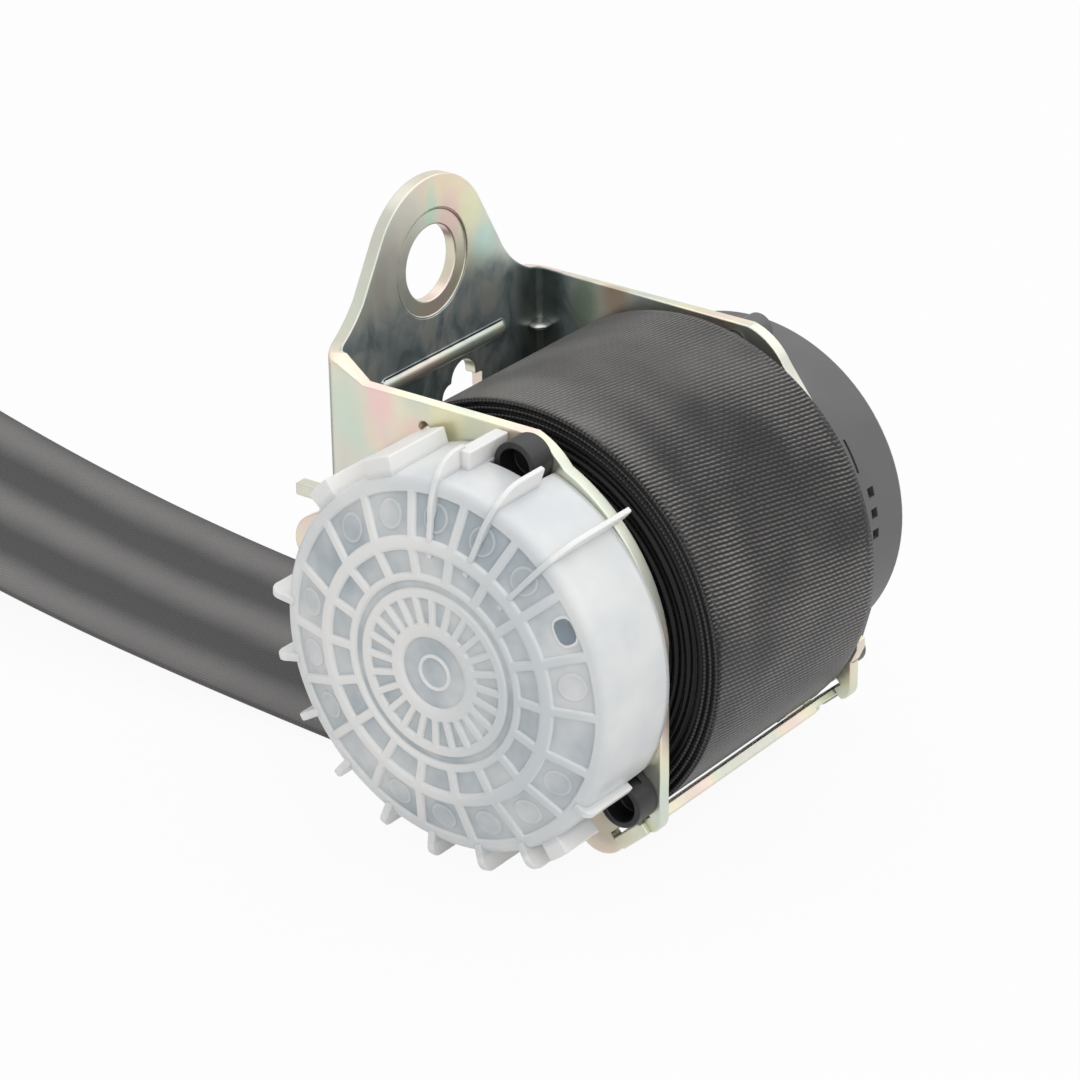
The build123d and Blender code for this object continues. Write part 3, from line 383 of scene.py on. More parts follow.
def zinc_finish():
    """Steel with a yellow passivated zinc skin: bands of cream, pink and green, painted reflections in
    streaks, and painted shade on the inner faces.
    """
    f = Finish("zinc_plated_steel")
    x, y, z = f.parts(f.spot())
    cloud = f.noise(0.045, distort=0.5)
    reach = f.math("MULTIPLY_ADD", z, 0.02, f.math("MULTIPLY_ADD", x, -0.033, f.times(y, -0.030)))
    order = f.math("PINGPONG", f.math("ADD", f.math("MULTIPLY_ADD", cloud, 0.9, reach), 0.1), 1.0)
    tint = f.ramp(order, (0.02, (0.58, 0.68, 0.60)), (0.18, (0.72, 0.76, 0.58)),
                  (0.32, (0.84, 0.78, 0.56)), (0.48, (0.86, 0.66, 0.60)), (0.62, (0.86, 0.72, 0.56)),
                  (0.76, (0.66, 0.74, 0.62)), (0.95, (0.72, 0.70, 0.62)))
    lit = f.blend(0.3, tint, (0.82, 0.78, 0.70))
    # Painted reflection: long upright streaks that darken the lit zinc
    reflection_streak = f.noise(1.0, detail=3.0, distort=0.6, vector=f.spot(scale=(0.13, 0.06, 0.035)))
    lit = f.blend(f.step(reflection_streak, 0.40, 0.60, 0.18, 0.0), lit, (0.44, 0.45, 0.41))

    # Painted shade and dark reflections: the plate's lower part and the flanges inside are darkened in
    # mottled patches, but less on the bead and the far flange's front
    near_inside, far_inside = NEAR_FACE + STEEL, FAR_FACE - STEEL
    between = f.times(f.within(x, near_inside, far_inside + 0.3, 0.2), f.step(y, -34.0, -24.0))
    front = f.step(y, 0.08 - STEEL, 0.3 - STEEL, 1.0, 0.0)
    low = f.step(f.math("MULTIPLY_ADD", cloud, 9.0, z), -2.5, 3.0, 1.0, 0.0)
    bead = f.times(f.step(y, -3.2, -2.75, 1.0, 0.0), f.within(x, -14.5, 18.5, 1.0))
    far_flange = f.times(f.step(y, -19.0, -8.0, 0.45, 0.0), f.step(x, far_inside - 1.8, far_inside - 0.8))
    paler = f.math("MAXIMUM", f.times(bead, 0.8), far_flange)
    dark = f.times(between, front, low, f.math("SUBTRACT", 1.0, paler))
    patch = f.noise(0.12, detail=3.0, rough=0.6, distort=1.2, vector=f.spot(scale=(1.0, 0.6, 0.7)))
    shade = f.ramp(patch, (0.34, (0.27, 0.33, 0.34)), (0.48, (0.47, 0.54, 0.54)),
                   (0.60, (0.66, 0.66, 0.63)), (0.74, (0.56, 0.65, 0.56)))
    # Painted shade, deepest in the corner between the plate and the far flange
    corner = f.times(f.step(x, 20.0, 26.0), f.step(y, -9.0, -6.0))
    shade = f.blend(f.times(corner, 0.75), shade, (0.07, 0.10, 0.085))
    colour = f.blend(dark, lit, shade)

    blur = f.math("ADD", f.noise(0.16), -0.5)
    for centre, size, hue, share in ZINC_TINTS_AND_SHADE:
        scale = tuple(1.0 / r for r in size)
        shift = tuple(-c / r for c, r in zip(centre, size))
        away = f.length(f.spot(scale=scale, shift=shift))
        colour = f.blend(f.step(f.math("ADD", away, blur), 0.25, 1.2, share, 0.0), colour, hue)
    lines = f.noise(1.0, vector=f.spot(scale=(0.25, 6.0, 0.25)))
    rough = f.math("MULTIPLY_ADD", f.noise(0.5, detail=3.0), 0.16, 0.27)
    return f.done(Base_Color=colour, Metallic=0.82, Roughness=rough, Normal=f.bump(lines, 0.015, 0.3))


def webbing_finish(name, dark, light, relief=1.0, bands=0.0, wear_and_sheen_amount=0.2, painted_top_light=False):
    """Woven polyester: slanting ribs across the belt, each a row of short floats. UV is in millimetres.

    With painted top light, the reel's top is painted paler as light from above and its lower side darker as
    shade, the ribs' painted highlights stand out most on the front, and the ribs are flatter on the top and
    the lower side.
    """
    f = Finish(name)
    across, along, _ = f.parts(f.spot(source="UV"))
    side = f.add("Attribute", attribute_name="side", out="Fac")
    drift = f.noise(0.12)
    slanted = f.math("MULTIPLY_ADD", across, RIB_SLANT, f.math("MULTIPLY_ADD", drift, 0.5, along))
    crest = f.math("POWER", f.math("MULTIPLY_ADD", f.wave(slanted, RIB_PITCH), 0.5, 0.5), 1.6)
    broken = f.noise(1.0, vector=f.spot(source="UV", scale=(0.9, 2.6, 1.0)))
    floats = f.wave(f.math("MULTIPLY_ADD", along, FLOAT_SLANT, across), FLOAT_PITCH)
    uneven = f.math("MULTIPLY_ADD", floats, 0.22, f.math("MULTIPLY_ADD", broken, 1.1, 0.22))
    edge = f.step(f.math("ABSOLUTE", across), WEB_WIDTH / 2 - 2.9, WEB_WIDTH / 2 - 1.3)
    ticks = f.math("MULTIPLY_ADD", f.wave(along, TICK_PITCH), 0.3, -0.1)
    height = f.math("ADD", f.times(crest, uneven), f.times(edge, ticks))

    # How much of the ribs' height goes into the colour, as lighter crests painted for their highlights; it
    # changes in slow patches
    share = f.step(f.noise(0.06, detail=1.0), 0.35, 0.62, 0.3 * relief, 0.8 * relief)
    lift = f.times(f.noise(3.0), 0.16)
    strength = f.math("SUBTRACT", 1.0, f.times(side, 0.85))
    if painted_top_light:
        # Painted light: the reel's top paler as if lit from above, its lower side darker as shade, and the
        # ribs' painted highlights strongest on the front between them
        _, y, z = f.parts(f.spot())
        top = f.times(f.step(y, -66.0, -46.0), f.step(z, -34.0, -15.0))
        low = f.step(z, -72.0, -50.0, 1.0, 0.0)

        def painted_light(value, on_top, below):
            """A value changed by on_top on the reel's top, and by below on its lower side."""
            return f.math("MULTIPLY_ADD", top, on_top, f.math("MULTIPLY_ADD", low, below, value))
        share = f.times(share, painted_light(1.15, -0.65, -0.8))
        lift = painted_light(lift, 0.30, -0.06)
        strength = f.times(strength, painted_light(1.0, -0.35, -0.6))
    # Painted light and shade: stripes along the belt in step with the waves of its section, lighter on
    # their crests and darker in their hollows
    if bands:
        stripes = f.math("COSINE", f.math("MULTIPLY_ADD", drift, 0.5, f.times(across, TURN / BAND_PITCH)))
        lift = f.math("MULTIPLY_ADD", stripes, bands, lift)
    # Slow random patches of paler and darker tone: partly the belt's use, partly painted sheen
    wear_and_sheen = f.math("MULTIPLY_ADD", f.noise(0.035, detail=3.0), wear_and_sheen_amount, 0.33 - 0.4 * relief - wear_and_sheen_amount / 2)
    tone = f.math("ADD", f.times(height, share), f.math("ADD", wear_and_sheen, lift))
    colour = f.blend(side, f.ramp(tone, (0.10, dark), (0.90, light)), (0.004, 0.004, 0.0045))
    return f.done(Base_Color=colour, Roughness=0.40, Specular_IOR_Level=0.27, Sheen_Weight=0.08,
                  Sheen_Roughness=0.35, Normal=f.bump(f.times(height, strength), 0.16 * relief))


def cover_finish():
    """Milky natural plastic: pale ribs, painted highlights on the cells' edges, bluish cells where it is
    thin, and painted shade in the small opening.
    """
    f = Finish("clear_cover")
    thin = f.add("Attribute", attribute_name="thin", out="Fac")
    x, y, _ = f.parts(f.spot())
    cloud = f.noise(0.07, detail=3.0, rough=0.6)
    # The ribs go from pale to bluish grey towards the cover's front
    clear = f.step(y, -56.0, -30.0, 1.0, 0.0)
    rib = f.blend(clear, (0.88, 0.875, 0.855), (0.66, 0.70, 0.72))
    cell = f.ramp(cloud, (0.32, (0.46, 0.52, 0.56)), (0.50, (0.635, 0.675, 0.695)),
                  (0.68, (0.80, 0.81, 0.81)))
    wall = f.ramp(cloud, (0.35, (0.71, 0.735, 0.755)), (0.65, (0.82, 0.83, 0.82)))
    front = NEAR_FACE - COVER_DEPTH
    solid = f.blend(f.step(x, front + 1.2, front + 3.1), rib, wall)
    radius = f.length(f.spot(scale=(0, 1, 1), shift=(0, -AXIS_Y, -AXIS_Z)))
    solid = f.blend(f.step(radius, FOOT_R - 0.1, FOOT_R + 0.9), solid, (0.88, 0.88, 0.865))
    colour = f.blend(f.step(thin, 0.55, 0.95), solid, cell)
    # Painted highlight: a bright line on the slopes from the ribs down to the cells, on the hub's ring,
    # round the ejector marks and on the opening's raised edge
    rim = f.ramp(thin, (0.08, (0, 0, 0)), (0.30, (1, 1, 1)), (0.60, (1, 1, 1)), (0.92, (0, 0, 0)))
    colour = f.blend(f.times(rim, 0.7), colour, (0.90, 0.905, 0.90))
    # Painted shade: the small opening's middle is painted dark, as the inside seen through it
    colour = f.blend(f.step(thin, 1.1, 1.6), colour, (0.26, 0.31, 0.355))
    alpha = f.math("MULTIPLY_ADD", thin, -0.05, 0.93)
    return f.done(Base_Color=colour, Roughness=0.28, IOR=1.45, Alpha=alpha,
                  Subsurface_Weight=0.35, Subsurface_Scale=0.002, Subsurface_Radius=(1.0, 1.0, 1.0),
                  Normal=f.bump(f.noise(0.8), 0.02, 0.3))


def moulded_finish(name, dark, light, rough):
    """Moulded plastic: a fine grain and a slow change of tone."""
    f = Finish(name)
    colour = f.ramp(f.noise(0.06, detail=3.0), (0.3, dark), (0.7, light))
    grain = f.noise(6.0)
    gloss = f.math("MULTIPLY_ADD", grain, 0.15, rough - 0.07)
    return f.done(Base_Color=colour, Roughness=gloss, Normal=f.bump(grain, 0.02, 0.4))


def turned_finish(name, dark, light, rough):
    """Machined or drawn metal with fine marks round the X axis."""
    f = Finish(name)
    marks = f.noise(1.0, detail=3.0, vector=f.spot(scale=(7.0, 0.3, 0.3)))
    colour = f.ramp(marks, (0.3, dark), (0.7, light))
    return f.done(Base_Color=colour, Metallic=1.0, Roughness=rough, Normal=f.bump(marks, 0.01, 0.4))


def plain_finish(name, colour, rough):
    """One colour with a faint grain."""
    f = Finish(name)
    return f.done(Base_Color=colour, Roughness=rough, Normal=f.bump(f.noise(2.0), 0.01, 0.3))


FINISH = {
    "zinc_plated_steel": zinc_finish(),
    "webbing": webbing_finish("webbing", (0.007, 0.0066, 0.007), (0.25, 0.236, 0.226), wear_and_sheen_amount=0.85,
                              painted_top_light=True),
    "clear_cover": cover_finish(),
    "black_plastic": moulded_finish("black_plastic", (0.010, 0.010, 0.011), (0.022, 0.022, 0.024), 0.38),
    "grey_plastic": moulded_finish("grey_plastic", (0.098, 0.098, 0.102), (0.116, 0.116, 0.12), 0.46),
    "steel": turned_finish("steel", (0.42, 0.42, 0.43), (0.62, 0.62, 0.62), 0.3),
    "spring_steel": turned_finish("spring_steel", (0.16, 0.17, 0.20), (0.34, 0.35, 0.38), 0.35),
    "aluminium": turned_finish("aluminium", (0.55, 0.56, 0.57), (0.74, 0.74, 0.74), 0.45),
    "white_plastic": moulded_finish("white_plastic", (0.70, 0.70, 0.68), (0.80, 0.80, 0.78), 0.42),
}
STRAP_FINISH = webbing_finish("strap_webbing", (0.045, 0.044, 0.045), (0.172, 0.166, 0.163), relief=0.2,
                              bands=0.42)
THREAD_FINISH = plain_finish("thread", (0.035, 0.034, 0.034), 0.4)
BEAD_FINISH = plain_finish("selvedge_bead", (0.022, 0.022, 0.022), 0.28)


def dress(thing, slot, finish=None):
    """Gives a piece its own finish, or the one that all pieces of a slot share."""
    thing.data.materials.clear()
    thing.data.materials.append(finish or FINISH[slot])


for part in frame["record"]["subparts"]:
    dress(frame["nodes"][part["node"]], part["material_slot"])


# Steel and moulded pieces with their edges eased

def close_steps(shell):
    """Joins the ends of the flanges' top edges to the bends' top edges, where a small step parts them."""
    bend_end = -4.0 * MM

    def at_end(edge):
        return all(abs(vert.co.y - bend_end) < TOUCH for vert in edge.verts)
    targets = {}
    for edge in shell.edges:
        low, high = sorted(edge.verts, key=lambda vert: vert.co.z)
        upright = abs(low.co.x - high.co.x) < TOUCH and high.co.z - low.co.z < 3 * MM
        if at_end(edge) and upright and low.co.z > -12 * MM:
            targets[low] = high
    bmesh.ops.weld_verts(shell, targetmap=targets)
    seams = [edge for edge in shell.edges if len(edge.link_faces) == 2
             and min(face.calc_area() for face in edge.link_faces) < 0.4 * MM * MM
             and at_end(edge) and abs(edge.verts[0].co.x - edge.verts[1].co.x) > 2 * MM]
    bmesh.ops.dissolve_edges(shell, edges=seams, use_verts=False)


def eased(node, slot):
    """A copy of a CAD node with its points merged, flat faces joined and sharp edges rounded."""
    source = frame["nodes"][node]
    mesh = source.data.copy()
    mesh.transform(source.matrix_world)
    shell = bmesh.new()
    shell.from_mesh(mesh)
    bmesh.ops.remove_doubles(shell, verts=shell.verts, dist=TOUCH)
    bmesh.ops.dissolve_limit(shell, angle_limit=np.radians(1.0), verts=shell.verts, edges=shell.edges)
    if node == "frame":
        close_steps(shell)
    layer = shell.edges.layers.float.new("bevel_weight_edge")
    for edge in shell.edges:
        if len(edge.link_faces) == 2 and edge.calc_face_angle(0.0) > SHARP:
            edge[layer] = 1.0
            edge.smooth = False
    for face in shell.faces:
        face.smooth = True
    shell.to_mesh(mesh)
    shell.free()
    thing = new_object(f"{node}_eased", mesh)
    step = rounding(thing, 2)
    step.limit_method = "WEIGHT"
    step.loop_slide = False
    step.use_clamp_overlap = False
    dress(thing, slot)
    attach(thing, "retractor")
    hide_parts(node)
    return thing


EASED = (("frame", "zinc_plated_steel"), ("tie_bar", "zinc_plated_steel"),
         ("anchor_plate", "zinc_plated_steel"), ("spring_base", "black_plastic"))
eased_pieces = {node: eased(node, slot) for node, slot in EASED}


def gusset_dimple():
    """The pressed stiffener in the far bend: an ellipsoid, half sunk in the corner."""
    middle, size = (28.9, -3.5, -20.6), (2.6, 2.2, 0.9)
    return weld(surface("gusset_dimple", middle + size * ball(17, 32), close_columns=True))


def drum_face():
    """Stiffening rings and spokes on the grey cover's end: a height field over radius and angle.

    Each spoke has lines of points beside it, and spare ones fill the space to the next spoke.
    """
    radii = np.concatenate([
        [0.0, 1.0, 1.6, 1.8, 2.0, 3.0, 4.4, 4.7, 5.0, 5.6, 8.0],
        [11.2, 11.5, 11.8, 12.1, 12.9, 13.2, 13.5, 13.8],
        np.linspace(15, 24.6, 7),
        [25.2, 25.5, 25.8, 26.1, 26.9, 27.2, 27.5, 28.0],
    ])
    beside = np.array([0.0, 0.6, 0.85, 1.1, 1.6])
    spokes, spare = 8, 10
    step = TURN / spokes
    near = np.maximum(radii, LEAST_R)[:, None]
    last = beside[-1] / near
    filling = last + (step / 2 - last) * np.arange(1, spare + 1) / (spare + 1)
    half = np.concatenate([beside / near, filling], 1)
    whole = np.concatenate([-half[:, :0:-1], half], 1)
    angle = (np.arange(spokes)[None, :, None] * step + whole[:, None, :]).reshape(len(radii), -1)
    r = radii[:, None]
    off = np.abs((angle / step + 0.5) % 1 - 0.5) * step * near

    height, sunk = 0.65, 0.15
    spoke = (1 - smooth(0.6, 1.1, off)) * band(r, 12.0, 27.0, 0.0, 0.6)
    rings = np.maximum(band(r, 11.4, 13.6, 0.0, 0.6), band(r, 25.4, 27.6, 0.0, 0.6))
    boss = 1.3 * (1 - smooth(4.4, 5.2, r)) - 0.9 * (1 - smooth(1.5, 2.1, r))
    rise = height * np.maximum(np.maximum(spoke, rings), boss) - sunk
    return weld(surface("drum_face", around(DRUM_END + rise, r, np.degrees(angle)), close_columns=True))


ribs = drum_face()
dress(ribs, "grey_plastic")
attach(ribs, "retractor")
dimple = gusset_dimple()
dress(dimple, "zinc_plated_steel", FINISH["steel"])
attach(dimple, "retractor")


# Webbing on the reel

def reel_belt():
    """Ring of wound webbing: a profile of (x, radius) turned round the spool axis.

    Its near side is a fine spiral, x = 0.22 cos(2 pi (radius / thickness - turns)), on a slow waviness.
    """
    steps, rings, lines = 480, 140, 40
    half = WEB_WIDTH / 2
    angles = np.linspace(0, TURN, steps, endpoint=False)[:, None]
    radii = np.linspace(CORE_R, REEL_R - 0.3, rings)
    under = REEL_R - radii
    spiral = 0.22 * np.cos(TURN * (radii / WEB_THICK - angles / TURN)) * smooth(0, 1.0, under)
    waves = 0.16 * np.sin(radii * 1.7 + 2.0 * np.sin(angles + radii * 0.4)) * smooth(0.5, 3, under)
    near_x = -half + 0.5 + spiral + waves
    across = np.broadcast_to(np.linspace(-half + 0.15, half - 0.15, lines), (steps, lines))
    far_r = radii[::12][::-1]
    far_x = np.full((steps, len(far_r)), half - 0.3)
    x = np.concatenate([near_x, across, far_x], 1)
    r = np.concatenate([radii, np.full(lines, REEL_R), far_r]) + 0 * x
    a = angles + 0 * x
    uv = np.stack([x, a * REEL_TURN / TURN], -1)
    points = around(REEL_MID + x, r, np.degrees(a))
    belt = surface("reel_belt", points, close_rows=True, close_columns=True, uv=uv, turn=REEL_TURN)
    flank = np.concatenate([np.ones(rings), np.zeros(lines), np.ones(len(far_r))])
    keep_values(belt, "side", np.broadcast_to(flank, x.shape))
    return belt


def selvedge():
    """The knotted edge of the outer turns: rings of beads, of radius 0.24 + 0.2 |sin(pi s / pitch)|."""
    things = []
    for turn, (under, inward) in enumerate(SELVEDGES):
        radius = REEL_R - under
        beads = round(TURN * radius / BEAD_PITCH)
        along = np.linspace(0, TURN, 8 * beads, endpoint=False)[:, None]
        around_bead = np.linspace(0, TURN, 8, endpoint=False)[None, :]
        thick = 0.24 + 0.20 * np.abs(np.sin(along * beads / 2))
        r = radius + thick * np.cos(around_bead)
        across = REEL_MID - WEB_WIDTH / 2 + inward - thick * np.sin(around_bead)
        points = around(across, r, np.degrees(along))
        things.append(surface(f"selvedge_{turn}", points, close_rows=True, close_columns=True))
    return joined("selvedge", things)


belt = reel_belt()
edging = selvedge()
dress(belt, "webbing")
dress(edging, "webbing", BEAD_FINISH)
for piece in (belt, edging):
    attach(piece, "spool")
    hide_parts("webbing_reel")


# Spring cover

def face_depth(r):
    """Depth of the cover's face at a radius: flat in the middle, then sloping down to the rim."""
    return COVER_DEPTH - (COVER_DEPTH - RIM_DEPTH) * np.maximum(0.0, r - FLAT_R) / (RIM_R - FLAT_R)


def wall_r(x):
    """Outer radius of the cover's wall at x."""
    return FOOT_R - (FOOT_R - EDGE_R) * (NEAR_FACE - x) / EDGE_DEPTH


def rib_distance(radius, angle, count):
    """Distance across, in millimetres, from a point to the middle of the nearest of equal spokes."""
    step = 360.0 / count
    off = (angle + step / 2) % step - step / 2
    return np.abs(radius * np.radians(off))


def recess(radius, angle):
    """How deep the face's cells are at a point: 0 on the ribs and rings, 1 on a cell's floor."""
    clear = smooth(RIB_HALF - 0.12, RIB_HALF + 0.18, rib_distance(radius, angle, RIBS))
    slot = smooth(SLOT_HALF - 0.1, SLOT_HALF + 0.15, rib_distance(radius, angle, SLOTS))

    def row(edges):
        return band(radius, *edges, 0.12, 0.18)
    deep = sum(row(edges) for edges in CELL_ROWS) * clear + row(SLOT_ROW) * slot
    return deep + row(GROOVE) + (1 - smooth(HUB_R, HUB_R + 0.3, radius)) - 0.75 * row(HUB_RING)


def cover_skin():
    """A cup turned round the axis. Its face is a height field over radius and angle.

    Near the axis its points are spread evenly. Further out they stand in lines beside each rib, and spare
    ones fill the space to the next rib.
    """
    beside = np.array([0.0, 0.30, 0.60, 0.70, 0.80, 0.92, 1.2])
    spare = 15
    step = TURN / RIBS
    radii = np.concatenate([
        [0, 1.5, 2.4, 2.55, 2.7, 2.9, 3.1, 3.3, 3.5, 5.0, 6.1, 6.25, 6.4, 6.55, 7.5, 8.3, 8.5, 8.65, 8.8],
        np.linspace(9.4, 12.4, 7),
        [13.0, 13.2, 13.35, 13.5, 14.4, 14.6, 14.75, 14.9, 15.4, 16.0, 16.2, 16.35, 16.8],
        [17.2, 17.35, 17.5, 17.7, 18.6, 19.4, 20.2, 21.0, 21.2, 21.35, 21.5],
        [22.0, 22.4, 23.2, 23.45, 23.6, 23.8],
        np.linspace(24.6, 29.8, 8),
        [30.4, 30.6, 30.75, 31.0, RIM_R],
    ])

    def angles_at(r):
        even = np.linspace(0, step / 2, len(beside) + spare + 1)[:-1]
        filling = np.linspace(beside[-1] / r, step / 2, spare + 2)[1:-1]
        half = lerp(even, np.concatenate([beside / r, filling]), smooth(11.0, 17.0, r))
        whole = np.concatenate([-half[:0:-1], half])
        return (np.arange(RIBS)[:, None] * step + whole[None, :]).ravel()

    rings = []
    for r in radii:
        a = angles_at(max(r, LEAST_R))
        deep = recess(r, np.degrees(a))
        rings.append((NEAR_FACE - face_depth(r) + CELL * deep, 0 * a + r, a, deep))

    a = angles_at(RIM_R)
    degrees = (np.degrees(a) + 180) % 360 - 180
    end = FOOT_DEPTH + NOTCH_DEPTH * sum(band(degrees, low, high, 0.3, 0.3) for low, high in NOTCHES)
    turn = np.radians(np.linspace(0, 90, 8)[1:])
    shoulder = list(zip(lerp(RIM_R, EDGE_R, np.sin(turn)), lerp(RIM_DEPTH, EDGE_DEPTH, 1 - np.cos(turn))))
    down = np.linspace(0, 1, 16)[1:]
    wall = list(zip(lerp(EDGE_R, FOOT_R, down), lerp(EDGE_DEPTH, FOOT_DEPTH, down)))
    inside = [(FOOT_R - 1.5, FOOT_DEPTH), (FOOT_R - 1.5, 2.2), (30.4, 2.2), (30.3, 13.9),
              (FLAT_R, INNER_DEPTH), (0.0, INNER_DEPTH)]
    for r, depth in shoulder + wall + inside:
        rings.append((NEAR_FACE - np.maximum(depth, end), 0 * a + r, a, 0 * a))
    x, r, a, thin = np.stack(rings, 2)
    skin = surface("cover_skin", around(x, r, np.degrees(a)), close_rows=True)
    keep_values(skin, "thin", np.clip(thin, 0, 1))
    return weld(skin)


def plate_on_radius(name, outline, angle, thick):
    """A flat plate that stands on a radius: its outline of (x, radius), carried across its thickness."""
    outline = np.asarray(outline, float)
    a = np.radians(angle)
    across = np.array([0.0, np.sin(a), np.cos(a)]) * thick / 2
    middle = around(outline[:, 0], outline[:, 1], angle)
    points = np.stack([middle - across, middle + across])
    return weld(surface(name, points, close_columns=True, caps=True, flat=True))


def rounded_first(points, radius):
    """A closed outline with its first corner made an arc, tangent to the two edges that meet there."""
    points = np.asarray(points, float)
    corner, before, after = points[0], points[-1], points[1]
    u = (before - corner) / np.linalg.norm(before - corner)
    v = (after - corner) / np.linalg.norm(after - corner)
    half = np.arccos(u @ v) / 2
    middle = (u + v) / np.linalg.norm(u + v)
    centre = corner + middle * radius / np.sin(half)
    start, end = corner + u * radius / np.tan(half), corner + v * radius / np.tan(half)
    arc = lerp(start, end, np.linspace(0, 1, 8)[:, None]) - centre
    arc = centre + radius * arc / np.linalg.norm(arc, axis=1)[:, None]
    return np.concatenate([arc, points[1:]])


def short_fin(tip):
    """Side outline of a short fin that stands on the wall and the rim, with its front corner rounded."""
    front, tail = NEAR_FACE - FIN_FRONT, NEAR_FACE - FIN_TAIL
    outline = [(front, tip), (tail, tip), (tail, wall_r(tail) - 0.8),
               (NEAR_FACE - EDGE_DEPTH, EDGE_R - 1.0), (front + 0.8, RIM_R - 0.2), (front, RIM_R + 0.3)]
    return rounded_first(outline, min(2.4, 0.7 * (tip - RIM_R - 0.3)))


def long_fin(tail):
    """Side outline of a blade that leaves the face at a shallow slope.

    It sweeps over the shoulder in a quarter of an ellipse. Where its tail lies behind the flange's face,
    it goes round the wall's foot.
    """
    root_r, bend_r = 20.5, 27.0
    foot = NEAR_FACE - 0.6
    clear, sunk = 1.0, 0.8
    turn = np.radians(np.linspace(0, 90, 14))
    sweep = list(zip(NEAR_FACE - 11.0 - 7.6 * np.cos(turn), bend_r + (FIN_R - bend_r) * np.sin(turn)))
    outline = [(NEAR_FACE - 19.3, root_r), (NEAR_FACE - 19.1, 24.0)] + sweep
    outline += [(tail, FIN_R), (tail, wall_r(tail) + (clear if tail > NEAR_FACE else -sunk))]
    if tail > NEAR_FACE:
        outline += [(foot, wall_r(tail) + clear), (foot, FOOT_R - sunk)]
    return outline + [(NEAR_FACE - EDGE_DEPTH, EDGE_R - 1.2), (NEAR_FACE - 17.6, bend_r),
                      (NEAR_FACE - 18.6, root_r)]


def lug(name, low, high, tip, front, tail):
    """A block on the wall: its side outline of (x, radius) carried round the axis between two angles."""
    root = EDGE_R - 1.0
    outline = np.array([(NEAR_FACE - front, root), (NEAR_FACE - front, tip), (NEAR_FACE - tail, tip),
                        (NEAR_FACE - tail, root)])
    angles = np.linspace(low, high, 9)
    points = around(outline[None, :, 0], outline[None, :, 1], angles[:, None])
    return weld(surface(name, points, close_columns=True, caps=True, flat=True))


def cover_fins():
    """Short fins round the rim, three long blades, and blocks on the wall, with their edges rounded."""
    things = [plate_on_radius(f"fin_{a}", short_fin(FIN_R), a, FIN_THICK) for a in FIN_ANGLES]
    for name, tail, a in BLADES:
        things.append(plate_on_radius(name, long_fin(NEAR_FACE + tail), a, BLADE_THICK))
    things.append(plate_on_radius("low_fin", short_fin(LOW_FIN_R), LOW_FIN_ANGLE, FIN_THICK))
    for name, low, high, tip, front, tail in LUGS:
        things.append(lug(name, low, high, tip, front, tail))
    fins = joined("cover_fins", things)
    step = rounding(fins, 3)
    step.limit_method = "ANGLE"
    step.angle_limit = SHARP
    return fins


def patch_on_cell(name, angle, out, aside, height, thin):
    """A patch over a cell's floor: out along the radius, aside across it, raised by each row's height."""
    a = np.radians(angle)
    x = NEAR_FACE - (face_depth(out) - CELL + height[:, None])
    y = AXIS_Y - (out * np.cos(a) - aside * np.sin(a))
    z = AXIS_Z + (out * np.sin(a) + aside * np.cos(a))
    patch = surface(name, np.stack([x, y, z], -1), close_columns=True)
    keep_values(patch, "thin", np.broadcast_to(thin[:, None], x.shape))
    return weld(patch)


def cover_marks():
    """Round marks of the mould's ejectors on the cells' floors: each a low dish with a raised edge."""
    radii = np.array([0.0, 1.2, 1.85, 2.0, 2.15, 2.3, 2.45, 2.6])
    height = np.array([0.08, 0.08, 0.08, 0.14, 0.17, 0.17, 0.12, -0.15])
    thin = np.array([1.0, 1.0, 1.0, 0.9, 0.82, 0.82, 0.9, 1.0])
    turn = np.linspace(0, TURN, 28, endpoint=False)
    out = MARK_R + radii[:, None] * np.cos(turn)
    aside = radii[:, None] * np.sin(turn)
    dishes = [patch_on_cell(f"mark_{k}", (k + 0.5) * 360 / RIBS, out, aside, height, thin)
              for k in range(RIBS) if k not in UNMARKED]
    return joined("cover_marks", dishes)


def cover_port():
    """The small opening in a cell, drawn as a patch whose middle is painted dark as the shade seen through
    it: a rounded oblong, |a|^3 + |b|^3 = 1, with a raised edge.
    """
    size = np.array([0.0, 0.80, 0.88, 0.98, 1.06])[:, None]
    height = np.array([0.06, 0.06, 0.30, 0.30, -0.15])
    # 2 paints the middle dark as shade, and 0.4 paints a highlight on the raised edge
    thin = np.array([2.0, 2.0, 0.4, 0.4, 0.9])
    turn = np.radians(np.arange(16) * 22.5 + 11.25)
    shape = 1.0 / (np.abs(np.cos(turn)) ** 3 + np.abs(np.sin(turn)) ** 3) ** (1 / 3)
    out = PORT_R + PORT_OUT * size * shape * np.cos(turn)
    aside = PORT_ASIDE * size * shape * np.sin(turn)
    return patch_on_cell("cover_port", PORT_ANGLE, out, aside, height, thin)


skin = cover_skin()
fins = cover_fins()
marks = cover_marks()
port = cover_port()
for piece in (skin, fins, marks, port):
    dress(piece, "clear_cover")
    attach(piece, "retractor")
    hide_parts("spring_cover")


# Free strap: its route is back and rise, in millimetres, from its place under the reel's axis

STRAP_ROUTE = [
    (1.7, 0.0),
    (37.8, 1.6),
    (74.8, 3.7),
    (111.8, 6.9),
    (147.8, 12.5),
    (182.8, 20.5),
    (216.8, 30.4),
    (249.8, 41.9),
    (281.3, 54.3),
]
STRAP_GAP = 0.3
STRAP_START_Z = AXIS_Z - REEL_R - STRAP_GAP - WEB_THICK / 2
STRAP_WAVE = 0.10


